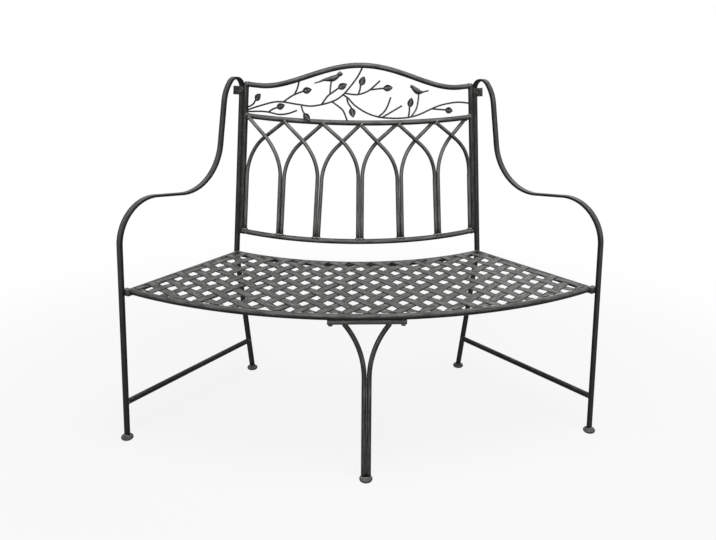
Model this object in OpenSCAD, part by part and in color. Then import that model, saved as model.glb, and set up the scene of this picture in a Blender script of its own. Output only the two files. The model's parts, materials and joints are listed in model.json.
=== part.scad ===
// Curved garden bench in steel: a woven seat on two strap side frames and a centre leg,
// with a leaning back of pointed arches under a leafy vine with two birds. Every arc turns about one
// upright line behind the bench, called the curve's axis here, and radii run from it.
// Sizes are in millimetres. The bench faces -Y and stands on Z = 0.

/* [Plan] */
// Half of the angle that the seat spans about the curve's axis, in degrees
half_angle = 35.3; // [30:0.1:37]
// Radius of the seat's front edge
seat_front_r = 1040; // [1015:1:1085]
// Radius of the rear posts' centre line at their knee
back_r = 622; // [595:1:645]
// How far behind the knees the rear feet stand
rear_foot_back = 60; // [40:1:90]
// How far the centre foot's middle stands in front of the seat's edge
centre_foot_out = 28; // [14:1:42]

/* [Seat] */
// Height of the woven seat's top
seat_h = 410; // [370:1:450]
// Diameter of the seat's rim tube
rim_d = 16; // [13:0.5:18]
// Width of a woven strip
strip_w = 25; // [18:0.5:30]
// Thickness of a woven strip
strip_t = 1; // [0.8:0.1:2]
// Half of the distance between neighbouring holes, from side to side
weave_x = 30.3; // [28:0.1:34]
// Half of the distance between neighbouring holes, from front to back
weave_y = 37.6; // [34:0.1:42]
// Distance from the seat's front edge back to the middle hole that the weave starts from
weave_start = 194; // [180:0.5:220]
// How far the weave's underside lies over the middles of the rim's tubes
weave_over_rim = 6; // [3:0.5:6.5]
// Width of the flat stiffeners under the weave
stiffener_w = 12; // [8:0.5:20]
// Thickness of the stiffeners
stiffener_t = 5; // [3:0.5:6]

/* [Side frames] */
// Width of the flat bar of the arms and posts
bar_w = 18; // [14:0.5:20]
// Thickness of the flat bar
bar_t = 6; // [5:0.5:8]
// How far the bars lap inside the line of the seat's side edge
bar_lap = 4; // [2:0.5:5]
// Gap between the seat's front edge and the front leg
leg_gap = 8; // [5:0.5:12]
// Backward lean of the front legs
front_lean = 1.2; // [0:0.1:3]
// Length of the front leg up to where it starts to bend into the arm
arm_rise = 522; // [490:1:540]
// Radius of the arm's front bend
arm_bend_r = 110; // [95:1:120]
// Angle by which the arm falls behind its crest
arm_fall = 6.9; // [4:0.1:10]
// Radius of the bend that carries the arm up to the hook
arm_dip_r = 142; // [130:1:160]
// Backward lean of the arm's upright part
arm_lean = 9.3; // [5:0.1:12]
// Radius of the shoulder's wide bend, below the hook
shoulder_r = 107; // [90:1:135]
// Radius of the hook
hook_r = 28.5; // [22:0.5:40]
// Angle of the shoulder's bend
shoulder_turn = 34; // [20:1:40]
// Angle by which the hook turns past the rear post's line before it comes back to it
hook_over = 8.5; // [4:0.5:25]
// Radius of the bend that brings it back
hook_back_r = 15; // [10:1:20]
// Height of the joint between the hook's end and the rear post
post_top = 871; // [852:1:886]
// Length of the hook's straight end above that joint
hook_tail = 10; // [8:0.5:14]
// Height of the rear post's knee
knee_h = 396; // [380:1:405]
// Radius of the knee's bend
knee_r = 80; // [50:1:120]
// Backward lean of the posts and of the back panel
back_lean = 4.6; // [2:0.1:6]
// Height of the stretchers' centre line
stretcher_h = 102; // [80:1:160]
// Diameter of the round tube of the stretchers, stiles and rails
tube_d = 15; // [12:0.5:18]

/* [Back panel] */
// Height of the bottom rail's centre line at the stiles
bottom_rail_h = 469; // [455:1:490]
// Height of the middle rail's centre line at the stiles
middle_rail_h = 810; // [798:1:822]
// Height of the top rail's centre line at the stiles
top_rail_h = 900; // [890:1:908]
// Rise of the top rail's crown over its ends
crown_rise = 71; // [60:0.5:90]
// Length over which the crown swells, measured from the middle to one side
crown_half = 298; // [260:1:333]
// How far the bottom rail's middle hangs below its ends
bottom_rail_hang = 4; // [0:0.5:8]
// How far the middle rail's middle hangs below its ends
middle_rail_hang = 8.5; // [0:0.5:12]
// Diameter of the arch rods
rod_d = 11; // [9:0.5:12]
// Height at which the rods that lean away from the middle spring
arch_spring_h = 652; // [610:1:690]
// How much lower the rods that lean towards the middle spring
arch_spring_drop = 17; // [0:1:30]
// Radius of the arches' lower curve
arch_r = 148; // [130:1:165]
// How far the foot to the left of the middle one stands off its even place
foot_off = 7; // [0:0.5:9]
// How far the places where the rods part are drawn towards the middle
spring_draw = 3; // [0:0.5:6]
// How far a rod passes the middle of its head when it meets the middle rail
head_pass = 4; // [0:0.5:6]
// How far the heads between the middle and the stiles are drawn towards the middle
head_draw = 8; // [0:0.5:12]

/* [Vine] */
// Diameter of the vine's stems and twigs
stem_d = 5; // [4:0.5:6]
// Length of a leaf from stalk to tip
leaf_l = 28; // [26:1:36]
// Width of a leaf
leaf_w = 19; // [14:1:24]
// Thickness of a leaf
leaf_t = 2; // [1:0.5:3]
// Length of the left bird from tail to beak
left_bird_l = 83; // [60:1:90]
// Length of the right bird from tail to beak
right_bird_l = 60; // [50:1:75]
// How thick a bird is, as a part of its height
bird_flat = 0.6; // [0.4:0.05:0.8]

/* [Centre leg] */
// Diameter of the centre leg's two rods
leg_rod_d = 12; // [10:0.5:14]
// Height at which the two rods part
fork_h = 252; // [228:1:290]
// Radius of the rods' outward curve
fork_r = 205; // [185:1:235]
// Length of the crossbar under the front rim
crossbar_l = 188; // [176:1:200]
// Height and depth of the crossbar
crossbar_t = 10; // [9:0.5:12]
// Distance of the crossbar's bolts from its ends
crossbar_bolt_in = 8; // [7:0.5:12]

/* [Feet and fixings] */
// Diameter of a foot
foot_d = 32; // [28:1:40]
// Height of a foot
foot_h = 10; // [8:0.5:14]
// Width of the tab that ties the hook to the rear post
tab_w = 37; // [34:1:46]
// Height of the tab
tab_h = 25; // [22:1:28]
// How far the tab's middle lies above the joint that it ties
tab_lift = 9; // [7:0.5:9]
// Thickness of the tab
tab_t = 3; // [2:0.5:4]
// Diameter of the bolts' shanks
bolt_d = 6; // [5:0.5:6]
// Width across the flats of the bolt heads and nuts
hex_w = 10; // [9:0.5:11]
// Thickness of the bolt heads and nuts
hex_t = 4; // [3:0.5:5]
// Clearance round a bolt's shank
bolt_play = 0.3; // [0.2:0.1:0.5]
// Gap left where two pieces meet
fit = 0.15; // [0.1:0.05:0.3]

/* [Hidden] */

steel = [0.30, 0.31, 0.29];
dark_steel = [0.22, 0.22, 0.21];
seat_steel = [0.42, 0.42, 0.40];
curve_fn = 180;
round_fn = 48;
big = 2000;
deg = 180 / PI;

tube_r = tube_d / 2;
rim_r = rim_d / 2;
rod_r = rod_d / 2;
stem_r = stem_d / 2;

// The bars' middle plane lies this far outside the seat's side edge
frame_out = bar_w / 2 - bar_lap;
// Radius of the front legs' centre line at the seat's top, and at a height
leg_r = seat_front_r + leg_gap + bar_t / 2;
function leg_at(z) = leg_r + (seat_h - z) * tan(front_lean);
rear_foot_r = back_r - rear_foot_back;
centre_foot_r = seat_front_r + centre_foot_out;

// The origin lies midway between the front of the centre foot and the back of the rear feet
rear_reach = rear_foot_r * cos(half_angle) - frame_out * sin(half_angle) - foot_d / 2;
axis_y = (centre_foot_r + foot_d / 2 + rear_reach) / 2;

// Levels of the seat, from the weave down
weave_mid_h = seat_h - strip_t - fit / 2;
rim_h = weave_mid_h - strip_t - fit / 2 - weave_over_rim;
rim_front_r = seat_front_r - rim_r;
strip_pitch = norm([weave_x, weave_y]);
strip_angle = atan2(weave_y, weave_x);
// The strips end where their undersides meet the tubes
strip_inset = rim_r + sqrt(max(0, rim_r * rim_r - weave_over_rim * weave_over_rim)) + fit;

// The rear leg's forward lean under the knee
leg_lean = atan2(back_r - rear_foot_r, knee_h - foot_h);
knee_tangent = knee_r * tan((leg_lean + back_lean) / 2);
knee_cut = knee_r / cos((leg_lean + back_lean) / 2) - knee_r;
rim_rear_r = back_r - knee_cut - max(0, knee_h - rim_h) * tan(leg_lean) + bar_t / 2 + 2 * fit + rim_r;

// Radius of the back's leaning surface at a height
function back_at(z) = back_r - (z - knee_h) * tan(back_lean);

// The stiles stand against the posts' inner edges
stile_in = bar_lap + fit + tube_r;
function stile_u(z) = back_at(z) * half_angle / deg - stile_in;
// How far a stile turns towards the middle as it goes up, on the flat panel
stile_turn = atan(tan(back_lean) * half_angle / deg);
function stile_hold(s) = [90 + s * stile_turn, tube_r];

module on_curve() {
    translate([0, axis_y, 0]) children();
}

// Side frame coordinates: X runs out along the radius, Y out of the bench, Z up
module side(right) {
    on_curve() mirror([right ? 0 : 1, 0, 0]) rotate([0, 0, half_angle - 90]) children();
}

// A circular arc of tube about the curve's axis, up to a half angle on both sides
module arc_tube(radius, r, half) {
    rotate([0, 0, -90 - half])
        rotate_extrude(angle = 2 * half, $fn = curve_fn)
            translate([radius, 0]) circle(r, $fn = round_fn);
}

// Straps: a path of straights and bends, walked from a point with a heading.
// The heading is 0 when going up and grows towards the curve's axis.
// A move is [length] for a straight, or [radius, turn] for a bend.
bend_step = 5;
function bend_centre(p, heading, r, s) = p - s * r * [cos(heading), sin(heading)];
function walk_end(p, heading, move) =
    len(move) == 1
        ? [p + move[0] * [-sin(heading), cos(heading)], heading]
        : let (s = sign(move[1]), c = bend_centre(p, heading, move[0], s), t = heading + move[1])
            [c + s * move[0] * [cos(t), sin(t)], t];
function walk_points(p, heading, move) =
    len(move) == 1
        ? [[p, heading]]
        : let (
            s = sign(move[1]),
            c = bend_centre(p, heading, move[0], s),
            n = ceil(abs(move[1]) / bend_step)
        ) [
            for (i = [0 : n - 1])
                let (t = heading + move[1] * i / n) [c + s * move[0] * [cos(t), sin(t)], t]
        ];
function walk(p, heading, moves, i = 0) =
    i == len(moves)
        ? [[p, heading]]
        : let (next = walk_end(p, heading, moves[i]))
            concat(walk_points(p, heading, moves[i]), walk(next[0], next[1], moves, i + 1));
function edge(path, off) = [for (q = path) q[0] + off * [cos(q[1]), sin(q[1])]];
function turned(list) = [for (i = [len(list) - 1 : -1 : 0]) list[i]];

module strap(path, bottom) {
    translate([0, frame_out + bar_w / 2, 0]) rotate([90, 0, 0]) linear_extrude(bar_w)
        intersection() {
            polygon(concat(edge(path, bar_t / 2), turned(edge(path, -bar_t / 2))));
            translate([0, bottom]) square([big, big]);
        }
}

// Arm: up the front leg, over the crest, down the run, up through the dip, then over the hook.
// The lengths of its run and of its upper straight make it end on the rear post's line, and
// its bends take no more than their part of the side frame's depth.
hook_end_h = post_top + hook_tail * cos(back_lean);
hook_end = [back_at(hook_end_h), hook_end_h];
arm_start = [leg_at(0), 0];
depth = leg_r - back_r;
crest_bend = min(arm_bend_r, 0.27 * depth);
dip_bend = min(arm_dip_r, 0.38 * depth);
shoulder_bend = min(shoulder_r, 0.32 * depth);
hook_bend = min(hook_r, 0.12 * depth);
run_lean = 90 + arm_fall;
shoulder_end = arm_lean + shoulder_turn;
hook_out = 180 + back_lean + hook_over;
function aim(a) = [cos(a), sin(a)];
function way(a) = [-sin(a), cos(a)];
function cross2(a, b) = a.x * b.y - a.y * b.x;
way_left = hook_end - arm_start - arm_rise * way(front_lean)
    - crest_bend * (aim(run_lean) - aim(front_lean))
    + dip_bend * (aim(arm_lean) - aim(run_lean))
    - shoulder_bend * (aim(shoulder_end) - aim(arm_lean))
    - hook_bend * (aim(hook_out) - aim(shoulder_end))
    - hook_back_r * (aim(hook_out) - aim(hook_out - hook_over));
arm_run = cross2(way_left, way(arm_lean)) / cross2(way(run_lean), way(arm_lean));
arm_up = cross2(way(run_lean), way_left) / cross2(way(run_lean), way(arm_lean));
arm_moves = [
    [arm_rise],
    [crest_bend, run_lean - front_lean],
    [arm_run],
    [dip_bend, arm_lean - run_lean],
    [arm_up],
    [shoulder_bend, shoulder_turn],
    [hook_bend, hook_out - shoulder_end],
    [hook_back_r, -hook_over],
    [hook_tail - fit]
];

// Point on the rear post's line at the tab's bolt
tab_bolt_h = post_top + hook_tail / 2;

module on_post(z) {
    translate([back_at(z), frame_out, z]) rotate([0, -back_lean, 0]) children();
}

module bolt_hole(length) {
    rotate([0, 90, 0]) cylinder(h = length, d = bolt_d + 2 * bolt_play, center = true, $fn = round_fn);
}

module arm_strap(right) {
    color(steel) side(right) difference() {
        strap(walk(arm_start, front_lean, arm_moves), foot_h + fit);
        on_post(tab_bolt_h) bolt_hole(4 * bar_t);
    }
}

post_line = (knee_h - foot_h) / cos(leg_lean);
post_start = [rear_foot_r, foot_h];
post_moves = [
    [post_line - knee_tangent],
    [knee_r, leg_lean + back_lean],
    [(post_top - knee_h) / cos(back_lean) - knee_tangent]
];

module rear_post(right) {
    // The path starts below the foot's top, and the strap is cut level there
    start = post_start - bar_t * [-sin(-leg_lean), cos(leg_lean)];
    moves = concat([[post_moves[0][0] + bar_t]], [post_moves[1], post_moves[2]]);
    color(steel) side(right) strap(walk(start, -leg_lean, moves), foot_h + fit);
}

module stretcher(right) {
    front = leg_at(stretcher_h) - (bar_t / 2 + fit) / cos(front_lean);
    rear = rear_foot_r + (stretcher_h - foot_h) * tan(leg_lean) + (bar_t / 2 + fit) / cos(leg_lean);
    color(steel) side(right) difference() {
        translate([rear - tube_d, frame_out, stretcher_h]) rotate([0, 90, 0])
            cylinder(h = front - rear + 2 * tube_d, d = tube_d, $fn = round_fn);
        // Cut to the slopes of the two legs
        translate([rear, frame_out, stretcher_h]) rotate([0, leg_lean, 0])
            translate([-2 * tube_d, -tube_d, -2 * tube_d]) cube([2 * tube_d, 2 * tube_d, 4 * tube_d]);
        translate([front, frame_out, stretcher_h]) rotate([0, -front_lean, 0])
            translate([0, -tube_d, -2 * tube_d]) cube([2 * tube_d, 2 * tube_d, 4 * tube_d]);
    }
}

module hook_tab(right) {
    color(dark_steel) side(right) on_post(post_top) difference() {
        translate([bar_t / 2 + fit, -bar_w / 2, tab_lift - tab_h / 2]) cube([tab_t, tab_w, tab_h]);
        translate([0, 0, hook_tail / 2]) bolt_hole(4 * bar_t);
    }
}

// Feet: discs with a fully round edge
module foot_disc() {
    rotate_extrude($fn = round_fn * 2) {
        square([foot_d / 2 - foot_h / 2, foot_h]);
        intersection() {
            translate([foot_d / 2 - foot_h / 2, foot_h / 2]) circle(foot_h / 2, $fn = round_fn);
            square([foot_d, foot_h]);
        }
    }
}

module side_foot(right, radius) {
    color(dark_steel) side(right) translate([radius, frame_out, 0]) foot_disc();
}

module centre_foot() {
    color(dark_steel) on_curve() translate([0, -centre_foot_r, 0]) foot_disc();
}

// Seat rim: four tubes, mitred at the corners
module mitre_half(radius, outside) {
    // The half space beyond a 45 degree plane through a corner of the rim
    translate([radius, -rim_r, rim_h]) rotate([0, 0, outside ? 45 : -45])
        translate([-rim_d * 2, 0, -rim_d]) cube([rim_d * 4, rim_d * 4, 2 * rim_d]);
}

module rim_arc(radius, front) {
    reach = half_angle - asin(rim_r / radius) + 1.5 * rim_r / radius * deg;
    difference() {
        on_curve() translate([0, 0, rim_h]) arc_tube(radius, rim_r, reach);
        for (right = [true, false]) side(right) mitre_half(radius, front);
    }
}

crossbar_bolt_x = crossbar_l / 2 - crossbar_bolt_in;
crossbar_y = -sqrt(pow(rim_front_r, 2) - pow(crossbar_bolt_x, 2));
crossbar_top = rim_h - rim_r - fit;
crossbar_low = crossbar_top - crossbar_t;
crossbar_bolt_end = rim_h + rim_r / 2;

module crossbar_bolt_places() {
    for (x = [-crossbar_bolt_x, crossbar_bolt_x]) on_curve() translate([x, crossbar_y, 0]) children();
}

module seat_front_rim() {
    color(steel) difference() {
        rim_arc(rim_front_r, true);
        crossbar_bolt_places() translate([0, 0, crossbar_top - fit])
            cylinder(
                h = crossbar_bolt_end - crossbar_top + 2 * fit,
                d = bolt_d + 2 * bolt_play,
                $fn = round_fn
            );
    }
}

module seat_rear_rim() {
    color(steel) rim_arc(rim_rear_r, false);
}

module seat_side_rim(right) {
    color(steel) side(right) difference() {
        translate([rim_rear_r - rim_d, -rim_r, rim_h]) rotate([0, 90, 0])
            cylinder(h = rim_front_r - rim_rear_r + 2 * rim_d, r = rim_r, $fn = round_fn);
        translate([rim_front_r, -rim_r, rim_h]) rotate([0, 0, -135])
            translate([-rim_d * 2, -fit, -rim_d]) cube([rim_d * 4, rim_d * 4, 2 * rim_d]);
        translate([rim_rear_r, -rim_r, rim_h]) rotate([0, 0, 135])
            translate([-rim_d * 2, -fit, -rim_d]) cube([rim_d * 4, rim_d * 4, 2 * rim_d]);
    }
}

module seat_lug(right) {
    face = leg_at(rim_h) - (bar_t / 2 + fit) / cos(front_lean);
    color(dark_steel) side(right) difference() {
        translate([rim_front_r, -rim_d, rim_h - rim_r])
            cube([face + rim_r - rim_front_r, rim_d + frame_out, rim_d]);
        // Cut to the slope of the front leg
        translate([face, 0, rim_h]) rotate([0, -front_lean, 0])
            translate([0, -2 * rim_d, -rim_d]) cube([rim_d, 4 * rim_d, 2 * rim_d]);
        rotate([0, 0, 90 - half_angle]) translate([0, 0, rim_h])
            arc_tube(rim_front_r, rim_r + fit, half_angle + 2);
    }
}

// Woven seat
module seat_outline(inset, front, rear) {
    intersection() {
        difference() {
            circle(front, $fn = curve_fn * 2);
            circle(rear, $fn = curve_fn * 2);
        }
        polygon([
            [0, -inset / sin(half_angle)],
            big * [sin(half_angle), -cos(half_angle)] - inset * [cos(half_angle), sin(half_angle)],
            big * [-sin(half_angle), -cos(half_angle)] + inset * [cos(half_angle), -sin(half_angle)]
        ]);
    }
}

weave_hole_y = weave_start - seat_front_r;
weave_reach = ceil((seat_front_r * sin(half_angle) / weave_x + seat_front_r / 3 / weave_y) / 2) + 1;
// Half length of the flat stretch where a strip crosses another
flat_half = strip_w / 2 / sin(2 * strip_angle) + strip_w / 2 / abs(tan(2 * strip_angle));
lift = (strip_t + fit) / 2;

// One strip along X that goes over and under others, with its crossings half a pitch off the middle
module woven_strip(parity) {
    low_to_high = [
        for (i = [-weave_reach - 1 : weave_reach])
            let (x = (i + 0.5) * strip_pitch, z = (i + parity) % 2 == 0 ? lift : -lift)
            each [[x - flat_half, z], [x + flat_half, z]]
    ];
    bottom = [for (p = low_to_high) p - [0, strip_t / 2]];
    top = [for (p = low_to_high) p + [0, strip_t / 2]];
    rotate([90, 0, 0]) linear_extrude(strip_w, center = true) polygon(concat(bottom, turned(top)));
}

module seat_strips(leaning_right) {
    across = leaning_right ? [weave_x, -weave_y] : [weave_x, weave_y];
    turn = leaning_right ? strip_angle : -strip_angle;
    color(seat_steel) on_curve() translate([0, 0, weave_mid_h]) intersection() {
        translate([0, 0, -2 * strip_t]) linear_extrude(4 * strip_t)
            seat_outline(strip_inset, seat_front_r - strip_inset, rim_rear_r - rim_r + strip_inset);
        for (j = [-weave_reach : weave_reach])
            translate([0, weave_hole_y, 0] + (j + 0.5) * [across.x, across.y, 0])
                rotate([0, 0, turn]) woven_strip(leaning_right ? j : j + 1);
    }
}

module seat_stiffener(j) {
    low = weave_mid_h - strip_t - 1.5 * fit - stiffener_t;
    color(dark_steel) on_curve() translate([0, 0, low]) intersection() {
        linear_extrude(stiffener_t)
            seat_outline(rim_d + fit, rim_front_r - rim_r - fit, rim_rear_r + rim_r + fit);
        translate([0, weave_hole_y, 0] + (j + 0.5) * [weave_x, -weave_y, 0]) rotate([0, 0, strip_angle])
            translate([-big / 2, -stiffener_w / 2, 0]) cube([big, stiffener_w, stiffener_t]);
    }
}

// Centre leg: two rods that part like a Y under a crossbar
centre_lean = atan2(centre_foot_r + crossbar_y, crossbar_low - foot_h);

// A closed skin over rings of points. Its caps are laced from side to side, so that an end
// that is cut round stays hollow.
function cap(s) =
    let (even = s % 4 == 0, f = even ? s / 4 - 1 : (s - 2) / 4, g = even ? f + 1 : f)
    [
        for (m = [0 : s / 2 - (even ? 2 : 1)])
            let (a = (f - m + s) % s, b = (f - m - 1 + s) % s, c = (g + m) % s, d = (g + m + 1) % s)
            each concat(a == c ? [] : [[a, c, d]], b == d ? [] : [[a, d, b]])
    ];
module skin(rings) {
    sides = len(rings[0]);
    last = (len(rings) - 1) * sides;
    tube = [
        for (i = [0 : len(rings) - 2], k = [0 : sides - 1])
            let (a = i * sides + k, b = i * sides + (k + 1) % sides)
            each [[a, b, b + sides], [a, b + sides, a + sides]]
    ];
    caps = [for (f = cap(sides)) each [turned(f), [for (v = f) v + last]]];
    polyhedron([for (r = rings) each r], concat(tube, caps));
}

leg_sides = 12;
fork_turn = asin(min(1, (crossbar_low - fork_h) / fork_r));
fork_moves = [[fork_h - foot_h - fit], [fork_r, -fork_turn]];

// A ring across the rod, drawn along to a level plane where it ends under the crossbar
function leg_ring(q, level) = [
    for (k = [0 : leg_sides - 1])
        let (
            w = 360 * k / leg_sides,
            v = q[0] + leg_rod_d / 2 * cos(w) * [cos(q[1]), sin(q[1])],
            s = level == undef ? 0 : (level - v.y) / cos(q[1]),
            z = v.y + s * cos(q[1])
        )
        [
            v.x - s * sin(q[1]),
            (z - foot_h) * tan(centre_lean) - centre_foot_r + leg_rod_d / 2 * sin(w),
            z
        ]
];

module centre_leg_rod(right) {
    path = walk([(leg_rod_d + fit) / 2, foot_h + fit], 0, fork_moves);
    last = len(path) - 1;
    rings = [for (i = [0 : last]) turned(leg_ring(path[i], i == last ? crossbar_low - fit : undef))];
    color(steel) on_curve() mirror([right ? 0 : 1, 0, 0]) skin(rings);
}

module centre_leg_crossbar() {
    color(steel) difference() {
        on_curve() translate([-crossbar_l / 2, crossbar_y - crossbar_t / 2, crossbar_low])
            cube([crossbar_l, crossbar_t, crossbar_t]);
        crossbar_bolt_places() translate([0, 0, crossbar_low - 1])
            cylinder(h = crossbar_t + 2, d = bolt_d + 2 * bolt_play, $fn = round_fn);
    }
}

// Back panel: pieces are laid out flat as [u, z, n] and bent onto the leaning curve.
// u runs along the curve from the middle, z is the height, and n stands out to the front.
function hang(z) = bottom_rail_hang
    + (middle_rail_hang - bottom_rail_hang) * (z - bottom_rail_h) / (middle_rail_h - bottom_rail_h);
function hang_at(z, a) = hang(z) * (cos(a) - cos(half_angle)) / (1 - cos(half_angle));
function bent(p) =
    let (r = back_at(p[1]), a = p[0] / r * deg)
    [(r + p[2]) * sin(a), axis_y - (r + p[2]) * cos(a), p[1] - hang_at(p[1], a)];

module stile(right) {
    bottom = bottom_rail_h - tube_r;
    length = (top_rail_h - bottom) / cos(back_lean);
    color(steel) side(right) translate([back_at(bottom), -stile_in, bottom]) rotate([0, -back_lean, 0]) {
        cylinder(h = length, d = tube_d, $fn = round_fn);
        translate([0, 0, length]) sphere(d = tube_d, $fn = round_fn);
    }
}

// Bars swept along a flat route on the panel. A route's point is [u, z], [u, z, n] or
// [u, z, n, radius]. An end that meets a round bar is given as [that bar's direction, its
// radius], with the route's end on that bar's middle line, and is cut round to fit it.
function depth_of(p) = len(p) > 2 ? p[2] : 0;
function radius_of(p, r) = len(p) > 3 ? p[3] : r;
function flat_point(p) = [p[0], p[1], depth_of(p)];
function heading_at(route, i) =
    let (d = flat_point(route[min(i + 1, len(route) - 1)]) - flat_point(route[max(i - 1, 0)]))
    d / norm(d);
function reach_to(meets, offset, depth, way) =
    let (
        square = [-sin(meets[0]), cos(meets[0])],
        n = square * (square * [way.x, way.y] > 0 ? 1 : -1),
        clear = pow(meets[1] + 2 * fit, 2)
    )
    (sqrt(max(0, clear - pow(depth, 2))) - n * [offset.x, offset.y]) / (n * [way.x, way.y]);
function ring(route, i, r, sides, meets, thin) =
    let (
        p = flat_point(route[i]),
        t = heading_at(route, i),
        across = [-t.y, t.x, 0] / norm([t.x, t.y]),
        out = [0, 0, 1],
        q = radius_of(route[i], r),
        way = i == 0 ? t : -t
    )
    [
        for (k = [0 : sides - 1])
            let (
                w = 360 * (k + 0.5) / sides,
                offset = q * cos(w) * across + q * thin * sin(w) * out,
                shift = meets == undef ? 0 : reach_to(meets, offset, p.z + offset.z, way)
            )
            bent(p + offset + shift * way)
    ];
// How far from a held end the bar's own side clears what it meets
function clear_of(hold, r, way) =
    hold == undef ? 0 : (hold[1] + r) / max(0.2, abs([-sin(hold[0]), cos(hold[0])] * [way.x, way.y]));
module swept(whole, r, sides, first = undef, last = undef, thin = 1) {
    end = len(whole) - 1;
    clear_first = clear_of(first, r, heading_at(whole, 0));
    clear_last = clear_of(last, r, heading_at(whole, end));
    route = [
        for (i = [0 : end])
            let (p = flat_point(whole[i]))
            if (i == 0 || i == end || (norm(p - flat_point(whole[0])) > clear_first
                && norm(p - flat_point(whole[end])) > clear_last)) whole[i]
    ];
    n = len(route);
    skin([
        for (i = [0 : n - 1])
            turned(ring(route, i, r, sides, i == 0 ? first : i == n - 1 ? last : undef, thin))
    ]);
}

// A smooth curve through a few points of any length, with a number of steps between them
function blend(a, b, c, d, t) =
    let (square = 2 * a - 5 * b + 4 * c - d, cube = 3 * b - a - 3 * c + d)
    0.5 * (2 * b + (c - a) * t + square * t * t + cube * t * t * t);
function smooth(pts, steps) =
    let (n = len(pts))
    [
        for (i = [0 : n - 2], s = [0 : steps - 1])
            blend(
                i == 0 ? 2 * pts[0] - pts[1] : pts[i - 1],
                pts[i],
                pts[i + 1],
                i == n - 2 ? 2 * pts[n - 1] - pts[n - 2] : pts[i + 2],
                s / steps
            ),
        pts[n - 1]
    ];

// Rails: swept from stile to stile. The top one swells to a crown in the middle.
rail_sides = 16;
rail_steps = 36;
crown_skirt = 0.95;
function crown(u) =
    abs(u) < crown_half ? crown_rise * pow((1 + cos(180 * u / crown_half)) / 2, crown_skirt) : 0;
function top_rail_z(u) = top_rail_h + crown(u);

module rail(z, crowned = false) {
    end = stile_u(z);
    route = [
        for (i = [0 : rail_steps])
            let (u = end * (2 * i / rail_steps - 1)) [u, z + (crowned ? crown(u) : 0)]
    ];
    color(steel) swept(route, tube_r, rail_sides, stile_hold(-1), stile_hold(1));
}

// Arches: each foot carries two rods, which lean over to the heads next to their own
arch_fields = 3;
foot_end_u = stile_u(bottom_rail_h) - tube_r - rod_r - fit;
head_end_u = stile_u(middle_rail_h) - tube_r - rod_r - fit;
function even_foot_u(k) = foot_end_u * k / arch_fields;
function foot_u(k) = even_foot_u(k) - (k == -1 ? foot_off : 0);
function head_u(k) =
    head_end_u * k / arch_fields - sign(k) * head_draw * sin(180 * abs(k) / arch_fields);
function spring_u(k) = (even_foot_u(k) + foot_u(k)) / 2 * back_at(arch_spring_h) / back_at(bottom_rail_h)
    - (abs(k) == arch_fields ? 0 : sign(k) * spring_draw);
arch_steps = 6;
layer = rod_r + fit;

// A rod from foot k to the head one place to the side s, in front for s < 0 and behind for s > 0
function arch_route(k, s) =
    let (
        aside = abs(k) == arch_fields ? 0 : s * layer,
        low = foot_u(k) + aside,
        spring = spring_u(k) + aside,
        spring_h = arch_spring_h - (k * s < 0 ? arch_spring_drop : 0),
        head = head_u(k + s) + (abs(k + s) == arch_fields ? 0 : s * head_pass),
        dx = abs(head - spring),
        dz = middle_rail_h - spring_h,
        turn = atan2(dz, arch_r - dx) - acos(arch_r / norm([arch_r - dx, dz])),
        n = -s * layer
    )
    [
        [low, bottom_rail_h, 0],
        for (i = [0 : arch_steps])
            let (t = turn * i / arch_steps)
            [
                spring + s * arch_r * (1 - cos(t)),
                spring_h + arch_r * sin(t),
                n * min(1, 1.6 * i / arch_steps)
            ],
        [head, middle_rail_h, n]
    ];

module arch_rods(s) {
    color(steel)
        for (k = [s < 0 ? 1 - arch_fields : -arch_fields : s < 0 ? arch_fields : arch_fields - 1])
            swept(arch_route(k, s), rod_r, 12, [0, tube_r], [0, tube_r + fit]);
}

// Vine: each stem is a list of points on the panel that a smooth line runs through
stem_sides = 6;
stem_steps = 3;
rail_hold = [0, tube_r];
function line_of(points) = smooth([for (p = points) flat_point(p)], stem_steps);

// A place on the vine is [across, up]: across from 0 in the middle to 1 at the stile's foot,
// and up from 0 on the middle rail to 1 on the top rail there. A third number stands out to the front.
panel_half = stile_u(middle_rail_h);
function level(u, up) = middle_rail_h + up * (top_rail_z(u) - middle_rail_h);
function spot(p) = let (u = p[0] * panel_half) [u, level(u, p[1]), depth_of(p)];
function spots(list) = [for (p = list) spot(p)];
function stile_side(s, up) = let (z = level(s * panel_half, up)) [s * stile_u(z), z, 0];

// The point of a line at a given part across, and the hold that the line gives there
function piece_at(line, u, i = 0) =
    i + 2 >= len(line) || line[i + 1].x >= u ? i : piece_at(line, u, i + 1);
function point_at(line, across) =
    let (u = across * panel_half, i = piece_at(line, u), a = line[i], b = line[i + 1])
    a + (u - a.x) / (b.x - a.x) * (b - a);
function hold_at(line, across) =
    let (i = piece_at(line, across * panel_half), d = line[i + 1] - line[i])
    [atan2(d.y, d.x), stem_r];

// Each leaf: the place of its middle, and the angle it points to
leaves = [
    [[-0.871, 0.629], 48], [[-0.658, 0.372], 22], [[-0.431, 0.691], 15],
    [[-0.426, 0.1, 2 * stem_d], -52], [[-0.146, 0.656], 28], [[0.011, 0.731], 68],
    [[0.216, 0.649], 3], [[-0.067, 0.181], -79], [[0.406, 0.431], 78], [[0.759, 0.283], -12]
];
function leaf_root(i) =
    let (p = spot(leaves[i][0]), turn = leaves[i][1], reach = leaf_l / 2 + 2 * fit)
    p - reach * [cos(turn), sin(turn), 0];

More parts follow.
